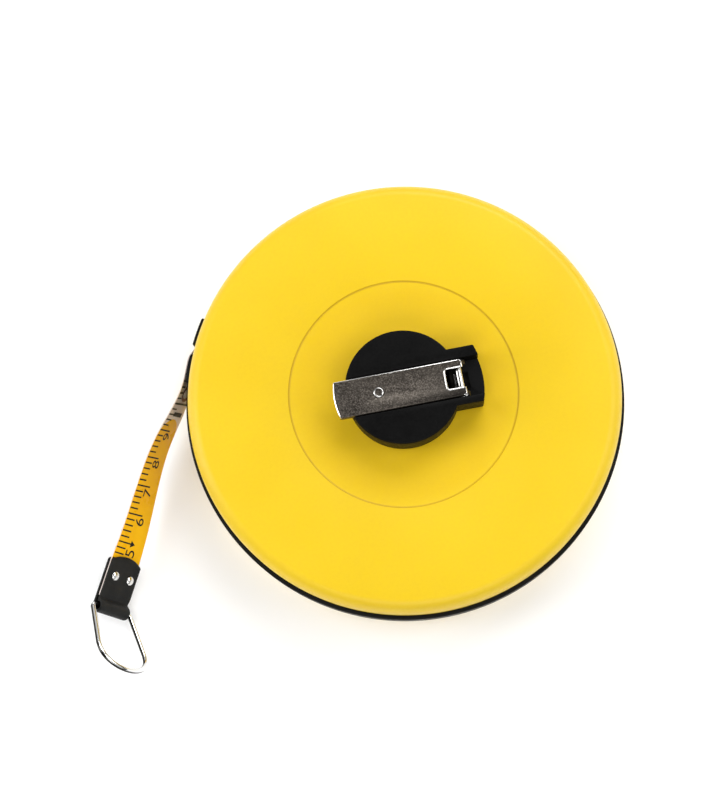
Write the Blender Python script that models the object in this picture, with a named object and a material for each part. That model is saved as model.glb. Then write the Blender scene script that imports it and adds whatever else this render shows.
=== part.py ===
"""Closed-reel long tape measure with a folding winding crank, lying on its back cover.

The reel axis is +Z and the case's back face lies on Z = 0. The case is two plastic covers joined
round a middle band by four screws from the back. Inside, a reel of three parts carries the wound
tape and turns on a steel spindle. A hub in front, keyed to the reel, holds a crank arm that folds
out on its hinge pin, with a winding knob that is stowed in the hub. The tape's free end leaves
through the mouth, lies round the lower lip, twists as it drops and ends in a riveted strap that
holds a wire ring.
"""

import math

import bmesh
import bpy
import numpy as np
from mathutils import Matrix, Vector

MM = 0.001
GAP = 0.3 * MM  # between pieces that touch or are pressed together

# Case
CASE_R = 71.0 * MM
BAND_R = 72.4 * MM
THICKNESS = 32.0 * MM
COVER_DEPTH = 11.4 * MM
CORNER_WIDE = 4.5 * MM
CORNER_DEEP = 6.1 * MM
WALL = 2.2 * MM
FLOOR = 2.4 * MM
FACE_DISC_R = 37.2 * MM
FACE_DISC_DEPTH = 0.45 * MM
BAND_LOW = 11.7 * MM
BAND_HIGH = THICKNESS - BAND_LOW
SLEEVE_IN = 66.9 * MM
SLEEVE_OUT = 68.5 * MM
SLEEVE_LOW = 7.0 * MM
SCREW_RING_R = 64.6 * MM
SCREW_ANGLES = (45, 135, 225, 315)
BOSS_R = 2.0 * MM
SCREW_HOLE_R = 1.25 * MM

# Wound tape: 30 m of tape 0.36 mm thick on a drum of 19 mm radius
TAPE_WIDTH = 13.0 * MM
TAPE_THICK = 0.36 * MM
TAPE_LENGTH = 30.0
DRUM_R = 19.0 * MM
TAPE_MID_Z = THICKNESS / 2
ROLL_R = math.sqrt(TAPE_LENGTH * TAPE_THICK / math.pi + DRUM_R**2)
FLANGE_R = 62.2 * MM
FLANGE_THICK = 1.2 * MM
FLANGE_GAP = 0.8 * MM

# Mouth: the tape runs off the roll along a tangent and leaves between the two lips
MOUTH_START = 156.3
MOUTH_END = 176.7
UPPER_LIP = (158.2, 165.9)
LOWER_LIP = (168.0, 175.7)
LIP_R = 72.5 * MM
LIP_ROOT_R = 69.6 * MM
LIP_LOW = 7.8 * MM
LIP_HIGH = THICKNESS - LIP_LOW
TANGENT_ANGLE = 136.25

# Hub, crank and knob, in a frame turned by CRANK_ANGLE about the reel axis
CRANK_ANGLE = 10.9
HUB_R = 18.4 * MM
HUB_LOW = 32.0 * MM
HUB_TOP = 43.0 * MM
STEM_R = 14.5 * MM
STEM_LOW = 24.8 * MM
TAB_R = 26.2 * MM
TAB_HALF = 9.3 * MM
ARM_OFFSET = -0.55 * MM
ARM_HALF = 6.0 * MM
ARM_END_R = 22.3 * MM
ARM_TOP = 43.6 * MM
ARM_PLATE = 1.2 * MM
ARM_RIM = 1.0 * MM
ARM_DEPTH = 3.0 * MM
ARM_NOSE_U = 19.9 * MM
HINGE_U = 18.4 * MM
HINGE_Z = 40.0 * MM
PIN_R = 1.2 * MM
EAR_R = 2.6 * MM
WINDOW_U = 13.9 * MM
WINDOW_HALF = 3.3 * MM
CHANNEL_FLOOR = 40.3 * MM
POCKET_FLOOR = 35.6 * MM
KNOB_U = -7.85 * MM
KNOB_R = 4.3 * MM
KNOB_TOP = 42.1 * MM
KNOB_LOW = 31.0 * MM
RIVET_R = 1.0 * MM
RIVET_HEAD_R = 1.65 * MM

# Free end of the tape: its middle line from the roll to the strap's loop
TAPE_ROUTE = (
    (-49.5, 37.7, 16.0),
    (-56.4, 30.5, 16.0),
    (-63.3, 23.3, 16.0),
    (-68.8, 17.5, 16.0),
    (-70.6, 15.4, 16.0),
    (-71.7, 13.4, 16.0),
    (-72.2, 11.1, 16.0),
    (-72.6, 8.4, 15.8),
    (-73.2, 5.4, 15.3),
    (-74.2, 2.1, 14.6),
    (-75.8, -1.8, 13.8),
    (-78.0, -6.2, 12.9),
    (-80.3, -10.6, 12.0),
    (-82.9, -16.6, 10.8),
    (-85.3, -23.9, 9.7),
    (-87.9, -33.4, 8.6),
    (-90.4, -42.9, 7.9),
    (-93.0, -51.6, 7.5),
    (-95.3, -59.1, 7.4),
    (-97.2, -65.3, 7.4),
)
ROUTE_STEP = 2.4 * MM
TWIST_START = 35.5 * MM
TWIST_END = 103.5 * MM
FREE_TILT = 55.0

# Strap and ring, in a frame level with the tape beside the ring's bar: X towards the tape, Z out of its
# printed face. The loop lies LOOP_LIFT to the printed side, so the back layer runs straight into it.
STRAP_HALF = 6.8 * MM
STRAP_LAYER = 0.8 * MM
STRAP_INSIDE = 0.5 * MM
STRAP_LENGTH = 17.9 * MM
STRAP_END_CURVE = 24.0 * MM
LOOP_CENTRE_GAP = 3.4 * MM
WIRE_R = 0.9 * MM
LOOP_R = 1.5 * MM
LOOP_LIFT = LOOP_R - STRAP_INSIDE
STRAP_RIVET_X = 10.8 * MM
STRAP_RIVET_Y = 3.5 * MM
STRAP_RIVET_R = 0.85 * MM
STRAP_RIVET_HEAD = 1.55 * MM
RING_BAR_HALF = 8.6 * MM
RING_FOOT_HALF = 10.4 * MM
RING_LEG = 16.0 * MM
RING_LENGTH = 24.0 * MM
RING_CORNER = 1.6 * MM
RING_SKEW = -3.0
RING_SWING = 45.0

CASE_STEPS = 60
REEL_STEPS = 36
HUB_STEPS = 36
SMALL_STEPS = 14


def clear_scene():
    for obj in list(bpy.data.objects):
        bpy.data.objects.remove(obj, do_unlink=True)


def material(name, colour, roughness, metallic=0.0):
    mat = bpy.data.materials.new(name)
    mat.use_nodes = True
    shader = mat.node_tree.nodes["Principled BSDF"]
    shader.inputs["Base Color"].default_value = (*colour, 1.0)
    shader.inputs["Roughness"].default_value = roughness
    shader.inputs["Metallic"].default_value = metallic
    return mat


def empty(name, location=(0, 0, 0), turn=None, parent=None):
    obj = bpy.data.objects.new(name, None)
    bpy.context.scene.collection.objects.link(obj)
    obj.parent = parent
    rotation = Matrix.Identity(4) if turn is None else turn.to_4x4()
    obj.matrix_local = Matrix.Translation(location) @ rotation
    return obj


def arc(centre, radius, start, end, steps):
    """Points on a circle from start to end, in degrees, both ends included."""
    angles = np.radians(np.linspace(start, end, steps + 1))
    return [(centre[0] + radius * math.cos(a), centre[1] + radius * math.sin(a)) for a in angles]


def solid(name, rows, mat=None, parent=None, ring=False, location=(0, 0, 0)):
    """A closed solid through rows of points, each row a closed loop. ring joins the last row to the first."""
    mesh = bpy.data.meshes.new(name)
    bm = bmesh.new()
    loops = [[bm.verts.new(point) for point in row] for row in rows]
    pairs = list(zip(loops, loops[1:]))
    if ring:
        pairs.append((loops[-1], loops[0]))
    else:
        bm.faces.new(loops[0])
        bm.faces.new(loops[-1])
    for low, high in pairs:
        for i in range(len(low)):
            k = (i + 1) % len(low)
            bm.faces.new((low[i], low[k], high[k], high[i]))
    bmesh.ops.recalc_face_normals(bm, faces=bm.faces)
    bm.to_mesh(mesh)
    bm.free()
    mesh.shade_smooth()
    mesh.set_sharp_from_angle(angle=math.radians(35))
    obj = bpy.data.objects.new(name, mesh)
    bpy.context.scene.collection.objects.link(obj)
    if mat is not None:
        mesh.materials.append(mat)
    obj.parent = parent
    obj.location = location
    return obj


def turned(name, profile, mat=None, steps=REEL_STEPS, span=None, parent=None, location=(0, 0, 0)):
    """A profile of (radius, z) points turned about Z: all round, or over span = (start, end) degrees.
    A profile that starts and ends on the axis makes a shaft."""
    if profile[0][0] == 0:
        return shaft(name, profile, mat, steps, parent, location)
    if span is None:
        angles = np.arange(steps) * 2 * math.pi / steps
    else:
        angles = np.radians(np.linspace(span[0], span[1], steps + 1))
    rows = [[(r * math.cos(a), r * math.sin(a), z) for r, z in profile] for a in angles]
    return solid(name, rows, mat, parent, ring=span is None, location=location)


def shaft(name, profile, mat, steps, parent, location):
    """A turned solid whose profile starts and ends on the axis."""
    angles = np.arange(steps) * 2 * math.pi / steps
    rows = [[(r * math.cos(a), r * math.sin(a), z) for a in angles] for r, z in profile[1:-1]]
    return solid(name, rows, mat, parent, location=location)


def prism(name, outline, low, high, mat=None, parent=None, location=(0, 0, 0)):
    """An outline of (x, y) points, extruded along Z."""
    rows = [[(x, y, z) for x, y in outline] for z in (low, high)]
    return solid(name, rows, mat, parent, location=location)


def rod(name, radius, low, high, mat=None, steps=SMALL_STEPS, parent=None, location=(0, 0, 0)):
    return shaft(name, [(0, low), (radius, low), (radius, high), (0, high)], mat, steps, parent, location)


def helper(obj):
    """Marks a cutter or a joined-on shape, which isn't a piece of its own."""
    obj.hide_render = True
    obj.display_type = "WIRE"
    return obj


def shape_with(obj, other, operation):
    step = obj.modifiers.new(operation.lower(), "BOOLEAN")
    step.operation = operation
    step.object = helper(other)
    return obj


def cut(obj, *cutters):
    for cutter in cutters:
        shape_with(obj, cutter, "DIFFERENCE")
    return obj


def join(obj, *others):
    for other in others:
        shape_with(obj, other, "UNION")
    return obj


def box(name, corner, opposite, parent=None):
    (x0, y0, z0), (x1, y1, z1) = corner, opposite
    return prism(name, [(x0, y0), (x1, y0), (x1, y1), (x0, y1)], z0, z1, parent=parent)


def on_circle(radius, degrees):
    angle = math.radians(degrees)
    return (radius * math.cos(angle), radius * math.sin(angle))


# ---------------------------------------------------------------- case


def corner_curve(edge, centre, wide, deep, steps):
    """The rounded corner between a cover's wall at radius edge and its face, as a quarter of an ellipse."""
    turns = np.linspace(0, math.pi / 2, steps + 1)
    return [(edge - wide + wide * math.cos(a), centre + deep * math.sin(a)) for a in turns]


def cover_profile(inner_edge, middle):
    """A cover's section, from its rim at Z = 0 up to its face at Z = COVER_DEPTH.
    middle is the section's end at the centre, from the face inwards and back to the inner floor."""
    centre = COVER_DEPTH - CORNER_DEEP
    wide = CORNER_WIDE - WALL
    deep = CORNER_DEEP - FLOOR
    outside = [(CASE_R, 0.0)] + corner_curve(CASE_R, centre, CORNER_WIDE, CORNER_DEEP, 4)
    inside = corner_curve(inner_edge, centre, wide, deep, 2)[::-1] + [(inner_edge, 0.0)]
    return outside + middle + inside


def face_disc():
    """The shallow round recess that both covers have in their face."""
    return [(FACE_DISC_R + 0.3 * MM, COVER_DEPTH), (FACE_DISC_R, COVER_DEPTH - FACE_DISC_DEPTH)]


def mouth_notch(name, low, high):
    profile = [(64 * MM, low), (76 * MM, low), (76 * MM, high), (64 * MM, high)]
    return turned(name, profile, steps=6, span=(MOUTH_START - 0.3, MOUTH_END + 0.3))


def front_cover(mat):
    hole_r = 16.2 * MM
    collar_r = 18.2 * MM
    inner_floor = COVER_DEPTH - FLOOR
    collar_low = COVER_DEPTH - 4.4 * MM
    middle = face_disc() + [
        (hole_r, COVER_DEPTH - FACE_DISC_DEPTH),
        (hole_r, collar_low),
        (collar_r, collar_low),
        (collar_r, inner_floor),
    ]
    base = THICKNESS - COVER_DEPTH
    profile = [(r, z + base) for r, z in cover_profile(CASE_R - WALL, middle)]
    cover = turned("front_cover", profile, mat, CASE_STEPS)
    for angle in SCREW_ANGLES:
        at = (*on_circle(SCREW_RING_R, angle), 0)
        low = BAND_HIGH - GAP + 0.3 * MM
        join(cover, rod(f"front_boss_{angle}", BOSS_R, low, THICKNESS - 1.2 * MM, steps=12, location=at))
    for angle in SCREW_ANGLES:
        at = (*on_circle(SCREW_RING_R, angle), 0)
        cut(cover, rod(f"front_thread_{angle}", SCREW_HOLE_R, 18 * MM, 28.4 * MM, steps=10, location=at))
    return cut(cover, mouth_notch("front_mouth_notch", 18 * MM, LIP_HIGH + GAP))


def back_cover(mat):
    centre_r = 13.5 * MM
    centre_inside = COVER_DEPTH - 4.6 * MM
    cap_seat_r = 11.3 * MM
    cap_seat = COVER_DEPTH - 1.6 * MM
    head_r = 3.4 * MM
    head_seat = COVER_DEPTH - 3.2 * MM
    shank_r = 1.8 * MM
    inner_floor = COVER_DEPTH - FLOOR
    middle = face_disc() + [
        (cap_seat_r, COVER_DEPTH - FACE_DISC_DEPTH),
        (cap_seat_r, cap_seat),
        (head_r, cap_seat),
        (head_r, head_seat),
        (shank_r, head_seat),
        (shank_r, centre_inside),
        (centre_r, centre_inside),
        (centre_r, inner_floor),
    ]
    profile = [(r, COVER_DEPTH - z) for r, z in cover_profile(CASE_R - WALL, middle)]
    cover = turned("back_cover", profile, mat, CASE_STEPS)
    for angle in SCREW_ANGLES:
        at = (*on_circle(SCREW_RING_R, angle), 0)
        cut(cover, rod(f"back_hole_{angle}", SCREW_HOLE_R, -1 * MM, 4 * MM, steps=10, location=at))
        cut(cover, rod(f"back_head_seat_{angle}", 2.4 * MM, -1 * MM, 1.3 * MM, location=at))
    return cut(cover, mouth_notch("back_mouth_notch", LIP_LOW - GAP, 14 * MM))


def band_section():
    """The band's section: an outer rib between the covers and a sleeve behind both their walls."""
    ease = 0.5 * MM
    sleeve_high = THICKNESS - SLEEVE_LOW
    return [
        (SLEEVE_IN, SLEEVE_LOW),
        (SLEEVE_OUT, SLEEVE_LOW),
        (SLEEVE_OUT, BAND_LOW),
        (BAND_R - ease, BAND_LOW),
        (BAND_R, BAND_LOW + ease),
        (BAND_R, BAND_HIGH - ease),
        (BAND_R - ease, BAND_HIGH),
        (SLEEVE_OUT, BAND_HIGH),
        (SLEEVE_OUT, sleeve_high),
        (SLEEVE_IN, sleeve_high),
    ]


def rim_band(mat):
    span = (MOUTH_END + 0.3, MOUTH_START - 0.3 + 360)
    band = turned("rim_band", band_section(), mat, CASE_STEPS - 4, span)
    for angle in SCREW_ANGLES:
        turn = Matrix.Rotation(math.radians(angle), 3, "Z")
        frame = empty(f"band_pillar_frame_{angle}", turn=turn)
        outline = arc((SCREW_RING_R, 0), BOSS_R, 90, 270, 6)
        outline += [(SLEEVE_IN + 0.7 * MM, -BOSS_R), (SLEEVE_IN + 0.7 * MM, BOSS_R)]
        pillar = prism(f"band_pillar_{angle}", outline, FLOOR + GAP, BAND_HIGH - GAP, parent=frame)
        low_cut = box(
            f"band_pillar_relief_{angle}",
            (SLEEVE_IN - 0.25 * MM, -3 * MM, 0),
            (SLEEVE_OUT + 1 * MM, 3 * MM, SLEEVE_LOW),
            parent=frame,
        )
        join(band, cut(pillar, low_cut))
    for angle in SCREW_ANGLES:
        at = (*on_circle(SCREW_RING_R, angle), 0)
        cut(band, rod(f"band_hole_{angle}", SCREW_HOLE_R, 0, 22 * MM, steps=10, location=at))
    return band


def tangent_frame():
    """A frame whose Y axis is the tape's straight run off the roll and whose X axis is its outer side."""
    return empty("tape_run", turn=Matrix.Rotation(math.radians(TANGENT_ANGLE), 3, "Z"))


def lip_outline(span, first_round, last_round, inset):
    """A lip's plan along the case's rim, from span[0] to span[1] degrees, with its outer corners rounded."""
    start = math.radians(span[0]) * LIP_R + inset
    end = math.radians(span[1]) * LIP_R - inset
    outer = LIP_R - inset
    unrolled = [(start, LIP_ROOT_R)]
    unrolled += arc((start + first_round, outer - first_round), first_round, 180, 90, 4)
    unrolled += arc((end - last_round, outer - last_round), last_round, 90, 0, 4)
    unrolled.append((end, LIP_ROOT_R))
    return [(r * math.cos(t / LIP_R), r * math.sin(t / LIP_R)) for t, r in unrolled]


def mouth_guide(mat):
    """The block that fills the band's gap, with a lip on each side of the way out."""
    ease = 0.3 * MM
    inset_z = 0.2 * MM
    core = [
        (SLEEVE_IN, LIP_LOW + inset_z),
        (CASE_R - GAP, LIP_LOW + inset_z),
        (CASE_R - GAP, LIP_HIGH - inset_z),
        (SLEEVE_IN, LIP_HIGH - inset_z),
    ]
    rib = [
        (CASE_R - 1 * MM, BAND_LOW),
        (BAND_R, BAND_LOW),
        (BAND_R, BAND_HIGH),
        (CASE_R - 1 * MM, BAND_HIGH),
    ]
    guide = turned("mouth_guide", core, mat, 12, (MOUTH_START, MOUTH_END))
    levels = ((LIP_LOW, ease), (LIP_LOW + ease, 0), (LIP_HIGH - ease, 0), (LIP_HIGH, ease))
    for name, span, first_round, last_round in (
        ("upper_lip", UPPER_LIP, 0.4 * MM, 0.5 * MM),
        ("lower_lip", LOWER_LIP, 1.4 * MM, 0.4 * MM),
    ):
        rows = [
            [(x, y, z) for x, y in lip_outline(span, first_round, last_round, inset)]
            for z, inset in levels
        ]
        join(guide, solid(name, rows))
    end_gap = 0.1
    for name, span in (
        ("upper_rib", (MOUTH_START + end_gap, UPPER_LIP[0] + 1)),
        ("lower_rib", (LOWER_LIP[1] - 1, MOUTH_END - end_gap)),
    ):
        join(guide, turned(name, rib, steps=3, span=span))
    run_r = ROLL_R + TAPE_THICK / 2
    half = TAPE_THICK / 2 + 2 * GAP
    way = [
        (run_r - half, 44 * MM),
        (run_r - half, 29 * MM),
        (run_r - half - 5 * MM, 20 * MM),
        (run_r + half + 5 * MM, 20 * MM),
        (run_r + half, 29 * MM),
        (run_r + half, 44 * MM),
    ]
    low = LIP_LOW + 1.0 * MM
    return cut(guide, prism("tape_way", way, low, THICKNESS - low, parent=tangent_frame()))


def case_screws(mat):
    """Four pan-head screws, from the back cover through the band into the front cover."""
    profile = [
        (0, 0.2 * MM),
        (1.6 * MM, 0.2 * MM),
        (2.0 * MM, 0.5 * MM),
        (2.0 * MM, 1.0 * MM),
        (0.9 * MM, 1.0 * MM),
        (0.9 * MM, 27.0 * MM),
        (0.4 * MM, 27.9 * MM),
        (0, 27.9 * MM),
    ]
    for number, angle in enumerate(SCREW_ANGLES, 1):
        at = (*on_circle(SCREW_RING_R, angle), 0)
        screw = shaft(f"case_screw_{number}", profile, mat, 12, None, at)
        for turn, wide, long in ((0, 0.25 * MM, 1.2 * MM), (1, 1.2 * MM, 0.25 * MM)):
            slot = box(f"case_screw_slot_{number}_{turn}", (-wide, -long, -1 * MM), (wide, long, 0.7 * MM))
            slot.location = at
            cut(screw, slot)


def back_cap(mat):
    profile = [
        (0, 0.7 * MM),
        (10.2 * MM, 0.7 * MM),
        (11.0 * MM, 1.0 * MM),
        (11.0 * MM, 1.3 * MM),
        (0, 1.3 * MM),
    ]
    shaft("back_cap", profile, mat, REEL_STEPS, None, (0, 0, 0))


# ---------------------------------------------------------------- spindle and reel


def spindle(mat):
    """A flanged steel post on the back cover, bored for its screw."""
    bore = 1.8 * MM
    profile = [
        (bore, 4.9 * MM),
        (9.0 * MM, 4.9 * MM),
        (9.0 * MM, 5.7 * MM),
        (3.5 * MM, 5.7 * MM),
        (3.5 * MM, 16.6 * MM),
        (3.0 * MM, 17.1 * MM),
        (bore, 17.1 * MM),
    ]
    turned("spindle", profile, mat, 24)


def spindle_screw(mat):
    profile = [
        (0, 1.9 * MM),
        (3.0 * MM, 1.9 * MM),
        (3.0 * MM, 2.9 * MM),
        (1.5 * MM, 2.9 * MM),
        (1.5 * MM, 15.5 * MM),
        (0, 15.5 * MM),
    ]
    shaft("spindle_screw", profile, mat, SMALL_STEPS, None, (0, 0, 0))


def flat_ring(name, inner, outer, low, high, mat, steps=REEL_STEPS, parent=None):
    return turned(name, [(inner, low), (outer, low), (outer, high), (inner, high)], mat, steps, parent=parent)


def thrust_washer(mat):
    flat_ring("thrust_washer", 4.0 * MM, 8.6 * MM, 6.0 * MM, 6.6 * MM, mat, 24)


def spindle_bush(mat, parent):
    """The flanged bearing sleeve pressed into the reel core, which runs on the spindle."""
    profile = [
        (3.8 * MM, 6.9 * MM),
        (8.6 * MM, 6.9 * MM),
        (8.6 * MM, 7.7 * MM),
        (6.7 * MM, 7.7 * MM),
        (6.7 * MM, 16.6 * MM),
        (3.8 * MM, 16.6 * MM),
    ]
    turned("spindle_bush", profile, mat, 24, parent=parent)


def reel_core(mat, parent):
    """The drum: an outer wall and a bearing tube joined by a web, with a square socket for the hub."""
    low = TAPE_MID_Z - TAPE_WIDTH / 2 - FLANGE_GAP + GAP
    high = THICKNESS - low
    web_low = 20.3 * MM
    profile = [
        (1.8 * MM, high),
        (1.8 * MM, web_low),
        (7.0 * MM, web_low),
        (7.0 * MM, low),
        (9.4 * MM, low),
        (9.4 * MM, web_low),
        (14.8 * MM, web_low),
        (14.8 * MM, low),
        (DRUM_R, low),
        (DRUM_R, high),
    ]
    core = turned("reel_core", profile, mat, REEL_STEPS, parent=parent)
    half = 5.6 * MM
    cut(core, box("core_socket", (-half, -half, 22.0 * MM), (half, half, 26 * MM), parent=parent))
    groove = box("anchor_groove", (16.4 * MM, -1.5 * MM, 0), (20 * MM, 1.5 * MM, 40 * MM), parent=parent)
    return cut(core, groove)


def flanges(mat, parent):
    low = TAPE_MID_Z - TAPE_WIDTH / 2 - FLANGE_GAP - FLANGE_THICK
    top = THICKNESS - low
    flat_ring("back_flange", 10.0 * MM, FLANGE_R, low, low + FLANGE_THICK, mat, parent=parent)
    front = flat_ring("front_flange", 2.0 * MM, FLANGE_R, top - FLANGE_THICK, top, mat, parent=parent)
    half = 5.6 * MM
    cut(front, box("flange_socket", (-half, -half, 20 * MM), (half, half, 28 * MM), parent=parent))


def tape_roll(mat, parent):
    low = TAPE_MID_Z - TAPE_WIDTH / 2
    flat_ring("tape_roll", DRUM_R + GAP, ROLL_R, low, low + TAPE_WIDTH, mat, parent=parent)


def tape_anchor(mat, parent):
    """The steel pin that holds the tape's inner loop in the drum's groove."""
    low = TAPE_MID_Z - TAPE_WIDTH / 2
    rod("tape_anchor", 0.8 * MM, low, low + TAPE_WIDTH, mat, 10, parent, (17.7 * MM, 0, 0))


def front_bush(mat):
    flat_ring("front_bush", STEM_R + GAP, 15.9 * MM, 27.8 * MM, 31.4 * MM, mat)


# ---------------------------------------------------------------- hub, crank and knob


def hub_outline(ease):
    """The hub seen from the front: a disc with a tab to +X whose end is an arc about the same centre."""
    tab_r = TAB_R - ease
    tab_half = TAB_HALF - ease
    radius = HUB_R - ease
    tab_angle = math.degrees(math.asin(tab_half / tab_r))
    root_angle = math.degrees(math.asin(tab_half / radius))
    tab_end = arc((0, 0), tab_r, -tab_angle, tab_angle, 8)
    return tab_end + arc((0, 0), radius, root_angle, 360 - root_angle, HUB_STEPS - 6)


def crank_hub(mat, parent):
    ease = 0.5 * MM
    levels = ((HUB_LOW, ease / 2), (HUB_LOW + ease, 0), (HUB_TOP - ease, 0), (HUB_TOP, ease))
    rows = [[(x, y, z) for x, y in hub_outline(inset)] for z, inset in levels]
    hub = solid("crank_hub", rows, mat, parent)
    join(hub, rod("hub_stem", STEM_R, STEM_LOW, HUB_LOW + 2 * MM, steps=HUB_STEPS, parent=parent))
    half = 5.3 * MM
    join(hub, box("hub_key", (-half, -half, 22.3 * MM), (half, half, STEM_LOW + 2 * MM), parent=parent))
    side = ARM_HALF + 0.4 * MM
    low_y = ARM_OFFSET - side
    high_y = ARM_OFFSET + side
    past = 30 * MM
    cut(hub, box("arm_channel", (-past, low_y, CHANNEL_FLOOR), (past, high_y, 50 * MM), parent=parent))
    pocket_u = HINGE_U - 4.6 * MM
    cut(hub, box("hinge_pocket", (pocket_u, low_y, POCKET_FLOOR), (past, high_y, 50 * MM), parent=parent))
    swing_r = math.hypot(HINGE_U - KNOB_U + KNOB_R, HINGE_Z - KNOB_LOW)
    room_r = KNOB_R + 0.5 * MM
    far_u = HINGE_U - swing_r - 0.4 * MM + room_r
    outline = arc((KNOB_U, ARM_OFFSET), room_r, -90, 90, 8)
    outline += arc((far_u, ARM_OFFSET), room_r, 90, 270, 8)
    cut(hub, prism("knob_room", outline, KNOB_LOW - 0.8 * MM, 50 * MM, parent=parent))
    cut(hub, rod("hub_screw_hole", 1.8 * MM, 20 * MM, 36.5 * MM, parent=parent))
    turn = Matrix.Rotation(math.radians(90), 3, "X")
    pin_frame = empty("hub_pin_frame", (HINGE_U, ARM_OFFSET, HINGE_Z), turn, parent)
    reach = TAB_HALF - 0.8 * MM
    return cut(hub, rod("hub_pin_hole", PIN_R + GAP, -reach, reach, parent=pin_frame))


def hub_screw(mat, parent):
    profile = [
        (0, 17.9 * MM),
        (2.8 * MM, 17.9 * MM),
        (2.8 * MM, 20.0 * MM),
        (1.5 * MM, 20.0 * MM),
        (1.5 * MM, 35.8 * MM),
        (0, 35.8 * MM),
    ]
    shaft("hub_screw", profile, mat, SMALL_STEPS, parent, (0, 0, 0))


def hinge_pin(mat, parent):
    turn = Matrix.Rotation(math.radians(90), 3, "X")
    frame = empty("hinge_pin_frame", (HINGE_U, ARM_OFFSET, HINGE_Z), turn, parent)
    reach = TAB_HALF - 1.1 * MM
    rod("hinge_pin", PIN_R, -reach, reach, mat, parent=frame)


def detent_spring(mat, parent):
    """A bent leaf under the hinge that holds the crank stowed or folded out."""
    half = 2.7 * MM
    thick = 0.45 * MM
    base = POCKET_FLOOR + GAP
    path = [
        (21.6 * MM, base),
        (15.0 * MM, base),
        (14.4 * MM, base + 0.7 * MM),
        (14.6 * MM, base + 4.6 * MM),
        (15.3 * MM, base + 5.6 * MM),
        (16.4 * MM, base + 5.7 * MM),
    ]
    line = [Vector(point) for point in path]
    sides = []
    for i, point in enumerate(line):
        before = line[max(i - 1, 0)]
        after = line[min(i + 1, len(line) - 1)]
        along = (after - before).normalized()
        sides.append(point + Vector((along.y, -along.x)) * thick)
    section = [tuple(p) for p in line] + [tuple(p) for p in reversed(sides)]
    rows = [[(u, y + ARM_OFFSET, z) for u, z in section] for y in (-half, half)]
    solid("detent_spring", rows, mat, parent)


def arm_outline(inset):
    """The arm's plan about the hub's centre: an arc at its free end and eased corners at the hinge."""
    half = ARM_HALF - inset
    end_r = ARM_END_R - inset
    nose = ARM_NOSE_U - inset
    ease = 1.0 * MM
    low = math.degrees(math.asin((ARM_OFFSET + half) / end_r))
    high = math.degrees(math.asin((ARM_OFFSET - half) / end_r))
    end = arc((0, 0), end_r, 180 - low, 180 - high, 8)
    lower = arc((nose - ease, ARM_OFFSET - half + ease), ease, -90, 0, 3)
    upper = arc((nose - ease, ARM_OFFSET + half - ease), ease, 0, 90, 3)
    return end + lower + upper


def crank_arm(mat, parent):
    """A stamped tray: a plate with a rim turned down all round, and two ears for the hinge pin.
    It is drawn about the hub's centre, and its parent stands on the hinge's axis."""
    edge = 0.35 * MM
    low = ARM_TOP - ARM_DEPTH
    levels = ((low, 0), (ARM_TOP - edge, 0), (ARM_TOP, edge))
    rows = [[(x, y, z) for x, y in arm_outline(inset)] for z, inset in levels]
    arm = solid("crank_arm", rows, mat, parent)
    turn = Matrix.Rotation(math.radians(90), 3, "X")
    frame = empty("arm_hinge_frame", (HINGE_U, ARM_OFFSET, HINGE_Z), turn, parent)
    ear_length = ARM_HALF
    join(arm, rod("arm_ears", EAR_R, -ear_length, ear_length, steps=20, parent=frame))
    hollow = [(x, y) for x, y in arm_outline(ARM_RIM)]
    cut(arm, prism("arm_hollow", hollow, low - 1 * MM, ARM_TOP - ARM_PLATE, parent=parent))
    inner = ARM_HALF - 1.6 * MM
    cut(
        arm,
        box(
            "arm_between_ears",
            (HINGE_U - 5 * MM, ARM_OFFSET - inner, HINGE_Z - 5 * MM),
            (HINGE_U + 5 * MM, ARM_OFFSET + inner, ARM_TOP - ARM_PLATE),
            parent=parent,
        ),
        box(
            "arm_window",
            (WINDOW_U, ARM_OFFSET - WINDOW_HALF, HINGE_Z - 5 * MM),
            (HINGE_U + 5 * MM, ARM_OFFSET + WINDOW_HALF, 50 * MM),
            parent=parent,
        ),
        rod("arm_pin_hole", PIN_R + GAP, -10 * MM, 10 * MM, parent=frame),
        rod("rivet_hole", RIVET_R + GAP, 40 * MM, 50 * MM, parent=parent, location=(KNOB_U, ARM_OFFSET, 0)),
        rod(
            "rivet_seat",
            RIVET_HEAD_R + GAP,
            ARM_TOP - 0.6 * MM,
            50 * MM,
            parent=parent,
            location=(KNOB_U, ARM_OFFSET, 0),
        ),
    )
    return arm


def knob_rivet(mat, parent):
    """The rivet that the knob turns on, with a dished head in the arm's top face."""
    profile = [
        (0, KNOB_LOW + 0.3 * MM),
        (1.8 * MM, KNOB_LOW + 0.3 * MM),
        (1.8 * MM, KNOB_LOW + 0.9 * MM),
        (RIVET_R, KNOB_LOW + 0.9 * MM),
        (RIVET_R, ARM_TOP - 0.3 * MM),
        (RIVET_HEAD_R, ARM_TOP - 0.3 * MM),
        (RIVET_HEAD_R, ARM_TOP + 0.15 * MM),
        (RIVET_HEAD_R - 0.35 * MM, ARM_TOP + 0.35 * MM),
        (0.75 * MM, ARM_TOP + 0.35 * MM),
        (0.6 * MM, ARM_TOP - 0.2 * MM),
        (0, ARM_TOP - 0.2 * MM),
    ]
    shaft("knob_rivet", profile, mat, SMALL_STEPS, parent, (0, 0, 0))


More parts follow.
